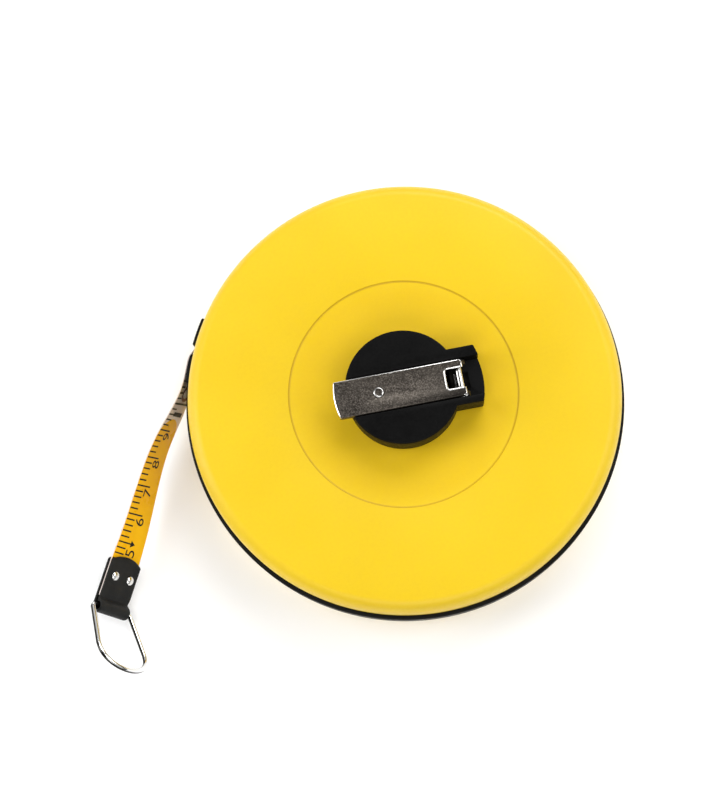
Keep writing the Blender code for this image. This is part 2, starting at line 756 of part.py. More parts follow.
def winding_knob(mat, parent):
    bore = RIVET_R + GAP
    profile = [
        (bore, KNOB_TOP),
        (bore, KNOB_LOW + 1.2 * MM),
        (2.2 * MM, KNOB_LOW + 1.2 * MM),
        (2.2 * MM, KNOB_LOW),
        (KNOB_R - 0.9 * MM, KNOB_LOW),
        (KNOB_R, KNOB_LOW + 0.9 * MM),
        (KNOB_R - 0.5 * MM, KNOB_LOW + 6 * MM),
        (KNOB_R, KNOB_TOP - 1.4 * MM),
        (KNOB_R - 0.3 * MM, KNOB_TOP),
    ]
    turned("winding_knob", profile, mat, 20, parent=parent)


# ---------------------------------------------------------------- free end of the tape


def smooth_route(points, step):
    """Even points on a natural cubic spline through the route's points, and their distances along it."""
    knots = np.array(points, float) * MM
    at = np.concatenate(([0.0], np.cumsum(np.linalg.norm(np.diff(knots, axis=0), axis=1))))
    count = len(at)
    gaps = np.diff(at)
    system = np.eye(count)
    right = np.zeros((count, 3))
    for i in range(1, count - 1):
        system[i, i - 1 : i + 2] = gaps[i - 1], 2 * (gaps[i - 1] + gaps[i]), gaps[i]
        slope_change = (knots[i + 1] - knots[i]) / gaps[i] - (knots[i] - knots[i - 1]) / gaps[i - 1]
        right[i] = 6 * slope_change
    bend = np.linalg.solve(system, right)
    places = np.linspace(0, at[-1], round(at[-1] / step) + 1)
    line = []
    for place in places:
        i = min(np.searchsorted(at, place, side="right") - 1, count - 2)
        h = gaps[i]
        a = (at[i + 1] - place) / h
        b = 1 - a
        curve = (a**3 - a) * bend[i] + (b**3 - b) * bend[i + 1]
        line.append(a * knots[i] + b * knots[i + 1] + curve * h * h / 6)
    return np.array(line), places


def ribbon_frames(line, places):
    """Each point's (point, direction, width direction, printed side). The tape stands on edge at the
    mouth and leans over, with its outer edge up, towards FREE_TILT degrees at the strap."""
    frames = []
    directions = np.gradient(line, axis=0)
    for point, along, place in zip(line, directions, places):
        along = Vector(along).normalized()
        side = along.cross(Vector((0, 0, 1))).normalized()
        up = side.cross(along)
        share = min(max((place - TWIST_START) / (TWIST_END - TWIST_START), 0), 1)
        tilt = math.radians(90 + (FREE_TILT - 90) * share)
        across = side * math.cos(tilt) + up * math.sin(tilt)
        frames.append((Vector(point), along, across, across.cross(along)))
    return frames


def tape_blade(mat, frames):
    rows = []
    for point, _, across, face in frames:
        wide = across * TAPE_WIDTH / 2
        thick = face * TAPE_THICK / 2
        rows.append([point + wide + thick, point - wide + thick, point - wide - thick, point + wide - thick])
    return solid("tape_blade", rows, mat)


def strap_frame(frames):
    """The strap's frame, just past the tape's end: X back along the tape, Y across it, Z out of the
    printed face."""
    point, along, across, face = frames[-1]
    turn = Matrix((-along, across, -along.cross(across))).transposed()
    return empty("strap_frame", point + along * LOOP_CENTRE_GAP, turn)


def end_strap(mat, parent):
    """A strip folded round the ring's bar, with the tape's end between its two layers."""
    outer = STRAP_INSIDE + STRAP_LAYER
    loop_out = LOOP_R + STRAP_LAYER
    centre = (0, LOOP_LIFT)
    neck = math.degrees(math.asin((STRAP_INSIDE - LOOP_LIFT) / LOOP_R))
    shoulder = math.degrees(math.asin((outer - LOOP_LIFT) / loop_out))
    rows = []
    for y in np.linspace(-STRAP_HALF, STRAP_HALF, 9):
        end = STRAP_LENGTH - y * y / STRAP_END_CURVE
        section = [(end, outer)] + arc(centre, loop_out, shoulder, 270, 10) + [(end, -outer)]
        section += [(end, -STRAP_INSIDE)] + arc(centre, LOOP_R, 270, neck, 8) + [(end, STRAP_INSIDE)]
        rows.append([(x, y, z) for x, z in section])
    return solid("end_strap", rows, mat, parent)


def strap_rivets(mat, parent, strap, blade):
    face = STRAP_INSIDE + STRAP_LAYER + GAP
    half = [
        (STRAP_RIVET_R, face),
        (STRAP_RIVET_HEAD, face),
        (STRAP_RIVET_HEAD - 0.1 * MM, face + 0.3 * MM),
        (STRAP_RIVET_HEAD - 0.7 * MM, face + 0.65 * MM),
    ]
    under = [(r, -z) for r, z in reversed(half)]
    profile = [(0, under[0][1])] + under + half + [(0, half[-1][1])]
    for number, y in enumerate((STRAP_RIVET_Y, -STRAP_RIVET_Y), 1):
        at = (STRAP_RIVET_X, y, 0)
        shaft(f"strap_rivet_{number}", profile, mat, 12, parent, at)
        hole = rod(
            f"strap_rivet_hole_{number}",
            STRAP_RIVET_R + GAP,
            -4 * MM,
            4 * MM,
            steps=10,
            parent=parent,
            location=at,
        )
        cut(strap, hole)
        cut(blade, hole)


def end_ring(mat, parent):
    """A wire ring with a straight bar in the strap's loop, spreading legs and a round foot."""
    skew = Matrix.Rotation(math.radians(RING_SKEW), 3, "X")
    turn = skew @ Matrix.Rotation(math.radians(RING_SWING), 3, "Y")
    swing = empty("ring_swing_axis", (0, 0, LOOP_LIFT), turn, parent)
    bar = RING_BAR_HALF - RING_CORNER
    foot = [
        (-RING_LEG - (RING_LENGTH - RING_LEG) * math.sin(a) ** 0.8, RING_FOOT_HALF * math.cos(a))
        for a in np.linspace(0, math.pi, 17)
    ]
    points = arc((-RING_CORNER, bar), RING_CORNER, 0, 90, 4)
    points += foot
    points += arc((-RING_CORNER, -bar), RING_CORNER, 270, 360, 4)
    curve = bpy.data.curves.new("end_ring", "CURVE")
    curve.dimensions = "3D"
    curve.bevel_depth = WIRE_R
    curve.bevel_resolution = 2
    spline = curve.splines.new("POLY")
    spline.points.add(len(points) - 1)
    for target, (x, y) in zip(spline.points, points):
        target.co = (x, y, 0, 1)
    spline.use_cyclic_u = True
    curve.materials.append(mat)
    obj = bpy.data.objects.new("end_ring", curve)
    bpy.context.scene.collection.objects.link(obj)
    obj.parent = swing
    return obj


# ---------------------------------------------------------------- the object


def build():
    clear_scene()
    yellow = material("cover_plastic", (0.95, 0.60, 0.02), 0.42)
    black = material("black_plastic", (0.013, 0.013, 0.013), 0.5)
    grey = material("reel_plastic", (0.06, 0.06, 0.065), 0.55)
    nylon = material("bearing_nylon", (0.75, 0.73, 0.68), 0.5)
    steel = material("bright_steel", (0.62, 0.61, 0.59), 0.25, 1.0)
    plated = material("plated_steel", (0.19, 0.17, 0.16), 0.4, 1.0)
    fibre = material("coated_fibreglass", (0.80, 0.72, 0.66), 0.45)
    strap_black = material("strap_vinyl", (0.016, 0.016, 0.015), 0.6)

    front_cover(yellow)
    back_cover(yellow)
    rim_band(black)
    mouth_guide(black)
    case_screws(steel)
    back_cap(black)
    spindle(steel)
    spindle_screw(steel)
    thrust_washer(nylon)
    front_bush(nylon)

    crank = empty("crank_frame", turn=Matrix.Rotation(math.radians(CRANK_ANGLE), 3, "Z"))
    spindle_bush(nylon, crank)
    reel_core(grey, crank)
    flanges(grey, crank)
    tape_roll(fibre, crank)
    tape_anchor(steel, crank)
    crank_hub(black, crank)
    hub_screw(steel, crank)
    hinge_pin(steel, crank)
    detent_spring(steel, crank)
    hinge = Vector((HINGE_U, ARM_OFFSET, HINGE_Z))
    hinge_axis = empty("crank_hinge_axis", hinge, parent=crank)
    arm_frame = empty("crank_arm_frame", -hinge, parent=hinge_axis)
    crank_arm(plated, arm_frame)
    knob_axis = empty("knob_axis", (KNOB_U, ARM_OFFSET, 0), parent=arm_frame)
    knob_rivet(steel, knob_axis)
    winding_knob(black, knob_axis)

    frames = ribbon_frames(*smooth_route(TAPE_ROUTE, ROUTE_STEP))
    blade = tape_blade(fibre, frames)
    loop = strap_frame(frames)
    strap = end_strap(strap_black, loop)
    strap_rivets(steel, loop, strap, blade)
    end_ring(steel, loop)


build()
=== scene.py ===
"""Looks for the closed-reel long tape measure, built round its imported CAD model."""

from functools import partial
from math import asin, cos, degrees, hypot, pi, radians, sin, sqrt

import bmesh
import bpy
import numpy as np
from mathutils import Matrix, Vector


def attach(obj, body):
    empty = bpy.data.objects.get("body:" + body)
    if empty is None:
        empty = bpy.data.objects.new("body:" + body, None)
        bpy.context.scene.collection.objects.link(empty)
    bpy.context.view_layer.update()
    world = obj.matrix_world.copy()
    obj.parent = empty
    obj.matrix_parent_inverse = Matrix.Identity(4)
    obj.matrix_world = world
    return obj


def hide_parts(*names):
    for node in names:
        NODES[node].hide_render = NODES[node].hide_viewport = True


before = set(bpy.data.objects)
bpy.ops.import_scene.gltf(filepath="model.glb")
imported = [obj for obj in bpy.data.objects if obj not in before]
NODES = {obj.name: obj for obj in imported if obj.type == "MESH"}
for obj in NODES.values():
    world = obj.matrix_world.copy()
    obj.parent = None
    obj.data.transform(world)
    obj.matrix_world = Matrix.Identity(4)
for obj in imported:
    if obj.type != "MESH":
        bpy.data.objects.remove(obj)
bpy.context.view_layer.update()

MM = 0.001

# Case, as in the CAD model
CASE_R = 71.0 * MM
BAND_R = 72.4 * MM
THICKNESS = 32.0 * MM
COVER_DEPTH = 11.4 * MM
CORNER_WIDE = 4.5 * MM
CORNER_DEEP = 6.1 * MM
WALL = 2.2 * MM
FLOOR = 2.4 * MM
FACE_DISC_R = 37.2 * MM
FACE_DISC_DEPTH = 0.45 * MM
BAND_LOW = 11.7 * MM
SLEEVE_IN = 66.9 * MM
SLEEVE_OUT = 68.5 * MM
SLEEVE_LOW = 7.0 * MM
MOUTH_START = 156.3
MOUTH_END = 176.7
UPPER_LIP = (158.2, 165.9)
LOWER_LIP = (168.0, 175.7)
LIP_R = 72.5 * MM
LIP_ROOT_R = 69.6 * MM
LIP_LOW = 7.8 * MM
LIP_HIGH = THICKNESS - LIP_LOW
TANGENT_ANGLE = 136.25
ROLL_R = 61.63 * MM
SCREW_CIRCLE_R = 64.6 * MM

# Hub, crank and knob, in a frame turned by CRANK_ANGLE about the reel axis
CRANK_ANGLE = 10.9
# Where the painted highlight on the detent spring lies along the crank
SPRING_GLINT_U = 17.2 * MM
# The direction in which painted shade darkens the crank's plating
PLATING_SHADE_ANGLE = -39.0
HUB_R = 18.4 * MM
HUB_LOW = 32.0 * MM
HUB_TOP = 43.0 * MM
STEM_R = 14.5 * MM
STEM_LOW = 24.8 * MM
TAB_R = 26.2 * MM
TAB_HALF = 9.3 * MM
ARM_OFFSET = -0.55 * MM
ARM_HALF = 6.0 * MM
ARM_END_R = 22.3 * MM
ARM_TOP = 43.6 * MM
ARM_PLATE = 1.2 * MM
ARM_RIM = 1.0 * MM
ARM_DEPTH = 3.0 * MM
ARM_NOSE_U = 19.9 * MM
HINGE_U = 18.4 * MM
HINGE_Z = 40.0 * MM
PIN_R = 1.2 * MM
EAR_R = 2.6 * MM
WINDOW_U = 13.9 * MM
WINDOW_HALF = 3.3 * MM
CHANNEL_FLOOR = 40.3 * MM
POCKET_FLOOR = 35.6 * MM
KNOB_U = -7.85 * MM
KNOB_R = 4.3 * MM
KNOB_TOP = 42.1 * MM
KNOB_LOW = 31.0 * MM
RIVET_R = 1.0 * MM
RIVET_HEAD_R = 1.65 * MM

# Free end of the tape: its middle line from the roll to the strap's loop
TAPE_WIDTH = 13.0 * MM
TAPE_THICK = 0.36 * MM
TAPE_ROUTE = (
    (-49.5, 37.7, 16.0), (-56.4, 30.5, 16.0), (-63.3, 23.3, 16.0), (-68.8, 17.5, 16.0),
    (-70.6, 15.4, 16.0), (-71.7, 13.4, 16.0), (-72.2, 11.1, 16.0), (-72.6, 8.4, 15.8),
    (-73.2, 5.4, 15.3), (-74.2, 2.1, 14.6), (-75.8, -1.8, 13.8), (-78.0, -6.2, 12.9),
    (-80.3, -10.6, 12.0), (-82.9, -16.6, 10.8), (-85.3, -23.9, 9.7), (-87.9, -33.4, 8.6),
    (-90.4, -42.9, 7.9), (-93.0, -51.6, 7.5), (-95.3, -59.1, 7.4), (-97.2, -65.3, 7.4),
)
ROUTE_STEP = 0.6 * MM
TWIST_START = 35.5 * MM
TWIST_END = 103.5 * MM
FREE_TILT = 55.0

# Print on the tape. A mark's reading is its distance from the tape's zero, towards the reel.
ZERO_AT = 147.5 * MM
FIRST_MARK = 44
LAST_MARK = 144
TICK_WIDE = 0.50 * MM
TICK_LONG = 4.2 * MM
CM_TICK_LONG = 7.6 * MM
ARROW_FROM = 5.9 * MM
ARROW_LONG = 2.1 * MM
EDGE_LEFT = 0.25 * MM
FILM_END = 94.4 * MM
FILM_START = 30.5 * MM
NUMERAL_HIGH = 4.2 * MM
DECADE_HIGH = 7.2 * MM

# Strap and ring, in a frame level with the tape beside the ring's bar: X towards the tape, Z out of
# its printed face. The loop lies LOOP_LIFT to the printed side.
STRAP_HALF = 6.8 * MM
STRAP_LAYER = 0.8 * MM
STRAP_INSIDE = 0.5 * MM
STRAP_LENGTH = 17.9 * MM
STRAP_END_CURVE = 24.0 * MM
LOOP_CENTRE_GAP = 3.4 * MM
WIRE_R = 0.9 * MM
LOOP_R = 1.5 * MM
LOOP_LIFT = LOOP_R - STRAP_INSIDE
STRAP_RIVET_X = 10.8 * MM
STRAP_RIVET_Y = 3.5 * MM
STRAP_RIVET_HEAD = 1.55 * MM
RING_BAR_HALF = 8.6 * MM
RING_FOOT_HALF = 10.4 * MM
RING_LEG = 16.0 * MM
RING_LENGTH = 24.0 * MM
RING_CORNER = 1.6 * MM
RING_SKEW = -3.0
RING_SWING = 45.0

# Lights: name, place, size and power. Each one looks at LIGHT_TARGET.
LIGHT_TARGET = (0, 0, 0.02)
LIGHTS = (
    ("key", (0.22, 0.66, 0.70), (0.8, 0.5), 6.2),
    ("front", (0.05, -0.66, 0.74), (0.8, 0.5), 3.8),
    ("left", (-0.68, 0.10, 0.70), (0.5, 0.8), 3.4),
    ("right", (0.70, 0.05, 0.70), (0.5, 0.8), 3.6),
    ("side", (-0.85, -0.10, 0.32), (0.3, 0.7), 2.6),
)
SKY_STOPS = ((0.0, 0.05), (0.10, 0.05), (0.20, 1.0), (0.52, 1.0), (0.70, 0.05))
SKY_STRENGTH = 0.62
FLOOR_HALF = 3

# ---- mesh tools


def arc(centre, radius, start, end, steps):
    """Points on a circle from start to end, in degrees, both ends included."""
    angles = np.radians(np.linspace(start, end, steps + 1))
    return [(centre[0] + radius * cos(a), centre[1] + radius * sin(a)) for a in angles]


def eased_top(top, ease, steps):
    """Levels of (z, inset) that round the upper edge of a prism."""
    turns = np.linspace(0, pi / 2, steps)
    return [(top - ease * (1 - sin(a)), ease * (1 - cos(a))) for a in turns]


def heading(angle):
    """The level direction at an angle from X, in degrees."""
    return cos(radians(angle)), sin(radians(angle)), 0.0


def add_object(name, data):
    obj = bpy.data.objects.new(name, data)
    bpy.context.scene.collection.objects.link(obj)
    return obj


def from_bmesh(name, bm, sharp=35):
    mesh = bpy.data.meshes.new(name)
    bmesh.ops.recalc_face_normals(bm, faces=bm.faces)
    bm.to_mesh(mesh)
    bm.free()
    mesh.shade_smooth()
    mesh.set_sharp_from_angle(angle=radians(sharp))
    return add_object(name, mesh)


def add_rows(bm, rows, ring=False):
    """Adds a closed solid through rows of points. ring joins the last row to the first."""
    loops = [[bm.verts.new(point) for point in row] for row in rows]
    pairs = list(zip(loops, loops[1:]))
    if ring:
        pairs.append((loops[-1], loops[0]))
    else:
        bm.faces.new(loops[0])
        bm.faces.new(loops[-1])
    for low, high in pairs:
        for i in range(len(low)):
            k = (i + 1) % len(low)
            bm.faces.new((low[i], low[k], high[k], high[i]))


def solid(name, rows, ring=False, sharp=35):
    bm = bmesh.new()
    add_rows(bm, rows, ring)
    return from_bmesh(name, bm, sharp)


def turned(name, profile, steps, span=None):
    """A profile of (radius, z) points turned about Z. A profile that starts on the axis makes a shaft."""
    angles = np.radians(np.linspace(*(span or (0, 360)), steps + 1))
    if span is None:
        angles = angles[:-1]
    if profile[0][0] == 0:
        rows = [[(r * cos(a), r * sin(a), z) for a in angles] for r, z in profile[1:-1]]
        return solid(name, rows)
    rows = [[(r * cos(a), r * sin(a), z) for r, z in profile] for a in angles]
    return solid(name, rows, ring=span is None)


def prism(name, outline, low, high):
    return solid(name, [[(x, y, z) for x, y in outline] for z in (low, high)])


def stack(name, outline, levels):
    """A solid through level slices: outline(inset) at each of the (z, inset) levels."""
    return solid(name, [[(x, y, z) for x, y in outline(inset)] for z, inset in levels])


def box(name, corner, opposite):
    (x0, y0, z0), (x1, y1, z1) = corner, opposite
    return prism(name, [(x0, y0), (x1, y0), (x1, y1), (x0, y1)], z0, z1)


def rod(name, radius, low, high, steps=32, at=(0, 0)):
    obj = turned(name, [(0, low), (radius, low), (radius, high), (0, high)], steps)
    obj.data.transform(Matrix.Translation((*at, 0)))
    return obj


def wire(name, line, radius, sides, ring=False):
    """A level round wire along (x, y) points. ring joins its last point to the first."""
    rows = []
    last = len(line) - 1
    for i, (x, y) in enumerate(line):
        before = line[i - 1] if ring or i > 0 else line[i]
        after = line[(i + 1) % len(line)] if ring or i < last else line[i]
        along = (Vector(after) - Vector(before)).normalized()
        row = []
        for a in np.arange(sides) * 2 * pi / sides:
            out = radius * cos(a)
            row.append((x + along.y * out, y - along.x * out, radius * sin(a)))
        rows.append(row)
    return solid(name, rows, ring)


def combine(obj, other, operation):
    """Applies one Boolean with other, and deletes other."""
    step = obj.modifiers.new("shape", "BOOLEAN")
    step.operation = operation
    step.object = other
    bake_modifiers(obj)
    bpy.data.objects.remove(other, do_unlink=True)


def cut(obj, *cutters):
    for cutter in cutters:
        combine(obj, cutter, "DIFFERENCE")


def join(obj, *others):
    for other in others:
        combine(obj, other, "UNION")


def bake_modifiers(obj):
    bpy.context.view_layer.update()
    depsgraph = bpy.context.evaluated_depsgraph_get()
    mesh = bpy.data.meshes.new_from_object(obj.evaluated_get(depsgraph))
    old = obj.data
    obj.modifiers.clear()
    obj.data = mesh
    bpy.data.meshes.remove(old)


def settle(piece, look, body, slot, *nodes):
    """Gives a piece its look and the body that it rides on, and hides the CAD nodes it stands for. The
    slot is not used.
    """
    piece.data.materials.clear()
    piece.data.materials.append(look)
    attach(piece, body)
    if nodes:
        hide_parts(*nodes)


def soften(obj, width, segments=3, angle=38):
    """Rounds an object's hard edges."""
    bevel = obj.modifiers.new("soften", "BEVEL")
    bevel.width = width
    bevel.segments = segments
    bevel.limit_method = "ANGLE"
    bevel.angle_limit = radians(angle)
    bevel.harden_normals = True
    bake_modifiers(obj)
    obj.data.shade_smooth()
    obj.data.set_sharp_from_angle(angle=radians(40))


# ---- materials


def fill_ramp(node, stops):
    """Sets a colour ramp's stops. A stop's value is a grey or a colour."""
    elements = node.color_ramp.elements
    while len(elements) < len(stops):
        elements.new(0.5)
    for element, (position, value) in zip(elements, stops):
        element.position = position
        element.color = (*value, 1) if isinstance(value, tuple) else (value, value, value, 1)


class Look:
    """A material's node tree, with short ways to add the nodes that the looks share."""

    def __init__(self, name, colour, roughness, metallic=0.0, specular=0.5):
        self.material = bpy.data.materials.new(name)
        self.material.use_nodes = True
        self.tree = self.material.node_tree
        self.shader = self.tree.nodes["Principled BSDF"]
        self.set("Base Color", (*colour, 1))
        self.set("Roughness", roughness)
        self.set("Metallic", metallic)
        self.set("Specular IOR Level", specular)
        coordinates = self.tree.nodes.new("ShaderNodeTexCoord").outputs
        self.place = coordinates["Object"]
        self.normal = coordinates["Normal"]
        self.height = None

    def link(self, source, target):
        self.tree.links.new(source, target)

    def feed(self, value, target):
        """Gives a node's input a value, or the output of another node."""
        if isinstance(value, bpy.types.NodeSocket):
            self.link(value, target)
        else:
            target.default_value = value

    def set(self, name, value):
        self.shader.inputs[name].default_value = value

    def noise(self, scale, detail=3.0, roughness=0.5, stretch=None):
        node = self.tree.nodes.new("ShaderNodeTexNoise")
        node.inputs["Scale"].default_value = scale
        node.inputs["Detail"].default_value = detail
        node.inputs["Roughness"].default_value = roughness
        place = self.place
        if stretch is not None:
            mapping = self.tree.nodes.new("ShaderNodeMapping")
            mapping.inputs["Scale"].default_value = stretch
            self.link(place, mapping.inputs["Vector"])
            place = mapping.outputs["Vector"]
        self.link(place, node.inputs["Vector"])
        return node.outputs["Fac"]

    def ramp(self, source, stops):
        node = self.tree.nodes.new("ShaderNodeValToRGB")
        fill_ramp(node, stops)
        self.link(source, node.inputs["Fac"])
        return node.outputs["Color"]

    def mix(self, factor, first, second):
        node = self.tree.nodes.new("ShaderNodeMix")
        node.data_type = "RGBA"
        sockets = {s.identifier: s for s in node.inputs}
        for identifier, value in (("Factor_Float", factor), ("A_Color", first), ("B_Color", second)):
            self.feed((*value, 1) if isinstance(value, tuple) else value, sockets[identifier])
        return {s.identifier: s for s in node.outputs}["Result_Color"]

    def math(self, operation, first, second):
        node = self.tree.nodes.new("ShaderNodeMath")
        node.operation = operation
        for socket, value in zip(node.inputs, (first, second)):
            self.feed(value, socket)
        return node.outputs["Value"]

    def from_axis(self):
        """How far a place is from the reel's axis."""
        parts = self.tree.nodes.new("ShaderNodeSeparateXYZ")
        self.link(self.place, parts.inputs["Vector"])
        across = self.math("MULTIPLY", parts.outputs["X"], parts.outputs["X"])
        up = self.math("MULTIPLY", parts.outputs["Y"], parts.outputs["Y"])
        return self.math("SQRT", self.math("ADD", across, up), 0.0)

    def along(self, source, direction):
        """How far a place, or a surface's own normal, reaches along a direction."""
        node = self.tree.nodes.new("ShaderNodeVectorMath")
        node.operation = "DOT_PRODUCT"
        self.link(source, node.inputs[0])
        node.inputs[1].default_value = direction
        return node.outputs["Value"]

    def spread(self, source, low, high, start=0.35, end=0.65):
        """Carries the values from start to end over to low to high, and holds them there beyond."""
        node = self.tree.nodes.new("ShaderNodeMapRange")
        for name, value in (("From Min", start), ("From Max", end), ("To Min", low), ("To Max", high)):
            node.inputs[name].default_value = value
        self.link(source, node.inputs["Value"])
        return node.outputs["Result"]

    def colour(self, source):
        self.link(source, self.shader.inputs["Base Color"])

    def roughness(self, source):
        self.link(source, self.shader.inputs["Roughness"])

    def bump(self, height, strength, distance):
        node = self.tree.nodes.new("ShaderNodeBump")
        node.inputs["Strength"].default_value = strength
        node.inputs["Distance"].default_value = distance
        self.link(height, node.inputs["Height"])
        if self.height is not None:
            self.link(self.height, node.inputs["Normal"])
        self.height = node.outputs["Normal"]
        self.link(self.height, self.shader.inputs["Normal"])


def yellow_plastic(name="cover_plastic_look", disc_r=None):
    """Yellow moulded plastic. If a sunk disc is given, painted shade makes the disc a little deeper
    yellow, and a painted shadow line marks the disc's step.
    """
    look = Look(name, (0.72, 0.49, 0.013), 0.4, specular=0.35)
    broad = look.noise(28, 2, 0.5)
    fine = look.noise(900, 4, 0.6)
    tone = look.ramp(broad, [(0.3, (0.70, 0.472, 0.006)), (0.7, (0.735, 0.505, 0.009))])
    if disc_r is not None:
        # Painted shade: the whole disc a little darker and more orange, fading out at its edge, where the
        # hub shades it.
        away = look.from_axis()
        inside = look.spread(away, 0.55, 0.0, disc_r - 4 * MM, disc_r + 0.1 * MM)
        tone = look.mix(inside, tone, (0.70, 0.445, 0.004))
        # Painted shadow: a thin dark line along the disc's step.
        near_edge = look.spread(away, 0.0, 1.0, disc_r - 1 * MM, disc_r + 1 * MM)
        painted_step_shadow = look.ramp(near_edge, [(0.30, 0.0), (0.42, 1.0), (0.58, 1.0), (0.70, 0.0)])
        tone = look.mix(look.math("MULTIPLY", painted_step_shadow, 0.5), tone, (0.42, 0.22, 0.002))
    look.colour(look.mix(look.spread(fine, 0.0, 0.10), tone, (0.60, 0.34, 0.005)))
    look.roughness(look.spread(fine, 0.36, 0.50))
    look.bump(look.noise(2600, 2, 0.5), 0.12, 0.00005)
    look.bump(look.noise(60, 2, 0.5), 0.05, 0.0006)
    look.set("Subsurface Weight", 0.06)
    look.set("Subsurface Radius", (0.004, 0.0022, 0.0006))
    look.set("Subsurface Scale", 0.5)
    return look.material


def black_plastic(name="black_plastic_look", base=0.004, shine=0.42, grain=1500):
    look = Look(name, (base, base, base * 0.95), shine, specular=0.04)
    fine = look.noise(grain, 4, 0.6)
    tone = look.ramp(look.noise(70, 3, 0.5), [(0.3, base * 0.8), (0.7, base * 1.35)])
    look.colour(look.mix(look.spread(fine, 0, 0.25), tone, (base * 2.2, base * 2.15, base * 2.1)))
    look.roughness(look.spread(fine, shine - 0.08, shine + 0.1))
    look.bump(fine, 0.25, 0.00006)
    return look.material


def mottled(name, colour, other, shine, cloud, grain):
    """Two colours in soft clouds over a fine grain. cloud is a noise's scale and detail, and grain is
    a noise's scale with the bump's strength and depth."""
    look = Look(name, colour, shine)
    look.colour(look.mix(look.spread(look.noise(*cloud), 0, 1), colour, other))
    look.bump(look.noise(grain[0]), *grain[1:])
    return look.material


def darker(colour, share=0.82):
    return tuple(c * share for c in colour)


def bright_steel():
    colour = (0.80, 0.79, 0.77)
    look = Look("bright_steel_look", colour, 0.16, 1.0)
    scuffs = look.noise(420, 5, 0.65)
    look.roughness(look.spread(scuffs, 0.096, 0.304))
    tarnish = look.spread(look.noise(240, 4), 0, 0.5, 0.45, 0.75)
    look.colour(look.mix(tarnish, colour, darker(colour, 0.75)))
    look.bump(scuffs, 0.05, 0.00004)
    return look.material


def wire_chrome(axis):
    """Chrome wire with painted dark reflections inside and outside its bend, where its surface faces away
    from the axis.
    """
    bright = (0.86, 0.86, 0.85)
    look = Look("wire_chrome_look", bright, 0.1, 1.0)
    # Painted reflection: dark where the surface faces across the axis, bright where it faces along it.
    side = look.math("ABSOLUTE", look.along(look.normal, axis), 0.0)
    look.colour(look.ramp(side, [(0.30, (0.025, 0.024, 0.022)), (0.62, bright)]))
    look.roughness(look.spread(look.noise(420, 5, 0.65), 0.05, 0.15))
    return look.material


def spring_steel():
    """Dark spring steel with a painted highlight, a bright line across it under the crank's window."""
    dark = (0.012, 0.011, 0.010)
    bright = (0.85, 0.84, 0.82)
    look = Look("spring_steel_look", dark, 0.3, 1.0)
    reach = look.along(look.place, heading(CRANK_ANGLE))
    # Painted highlight: a bright band across the spring.
    glint = look.spread(reach, 0.0, 1.0, SPRING_GLINT_U - 0.9 * MM, SPRING_GLINT_U + 0.9 * MM)
    look.colour(look.ramp(glint, [(0.22, dark), (0.34, bright), (0.66, bright), (0.78, dark)]))
    look.roughness(look.spread(look.noise(700, 4), 0.22, 0.4))
    return look.material


def plated_steel():
    """Dark mottled plating with pale grains, and painted shade towards the hinge's near corner, standing
    in for a dark reflection.
    """
    look = Look("plated_steel_look", (0.06, 0.05, 0.045), 0.42, 0.85)
    grain = look.noise(2600, 4, 0.7)
    cloud = look.noise(150, 3, 0.5)
    tone = look.ramp(cloud, [(0.32, (0.032, 0.027, 0.022)), (0.7, (0.070, 0.060, 0.050))])
    speck = look.ramp(grain, [(0.42, (0.012, 0.010, 0.008)), (0.6, (0.24, 0.21, 0.18))])
    plating = look.mix(look.spread(grain, 0.05, 0.75, 0.38, 0.68), tone, speck)
    # Painted shade: darker towards the hinge's near corner.
    corner = look.spread(look.along(look.place, heading(PLATING_SHADE_ANGLE)), 0.0, 0.8, 4 * MM, 15 * MM)
    look.colour(look.mix(corner, plating, (0.014, 0.012, 0.010)))
    look.roughness(look.spread(grain, 0.34, 0.55))
    look.bump(grain, 0.3, 0.00004)
    return look.material


def polished_edge():
    # A lighter copy of the plating: a painted highlight for the arm's rolled edges on its lit side and for
    # the window's lip.
    look = Look("polished_edge_look", (0.90, 0.89, 0.87), 0.13, 1.0)
    look.roughness(look.spread(look.noise(900, 4, 0.6), 0.08, 0.26))
    return look.material


def tape_coat():
    """Pinkish white coating with the glass strands just showing along the tape."""
    look = Look("coated_fibreglass_look", (0.74, 0.62, 0.56), 0.42, specular=0.3)
    uv = look.tree.nodes.new("ShaderNodeUVMap")
    uv.uv_map = "tape"
    strands = look.tree.nodes.new("ShaderNodeTexWave")
    strands.bands_direction = "Y"
    strands.inputs["Scale"].default_value = 3.2
    strands.inputs["Distortion"].default_value = 0.6
    look.link(uv.outputs["UV"], strands.inputs["Vector"])
    threads = strands.outputs["Fac"]
    cloud = look.noise(260, 4)
    tone = look.ramp(cloud, [(0.3, (0.67, 0.55, 0.50)), (0.7, (0.79, 0.69, 0.63))])
    look.colour(look.mix(look.math("MULTIPLY", threads, 0.25), tone, (0.82, 0.75, 0.70)))
    look.bump(threads, 0.18, 0.00004)
    return look.material


def film_coat():
    look = Look("tip_film_look", (0.86, 0.47, 0.0), 0.34, specular=0.1)
    cloud = look.noise(140, 3)
    look.colour(look.ramp(cloud, [(0.3, (0.80, 0.40, 0.0)), (0.7, (0.88, 0.48, 0.001))]))
    look.roughness(look.spread(cloud, 0.24, 0.4))
    look.bump(look.noise(1200, 3), 0.08, 0.00004)
    return look.material


def ink(name, colour):
    look = Look(name, colour, 0.45, specular=0.1)
    lighter = tuple(c + 0.008 for c in colour)
    look.colour(look.mix(look.spread(look.noise(2200, 3), 0, 0.6), colour, lighter))
    return look.material


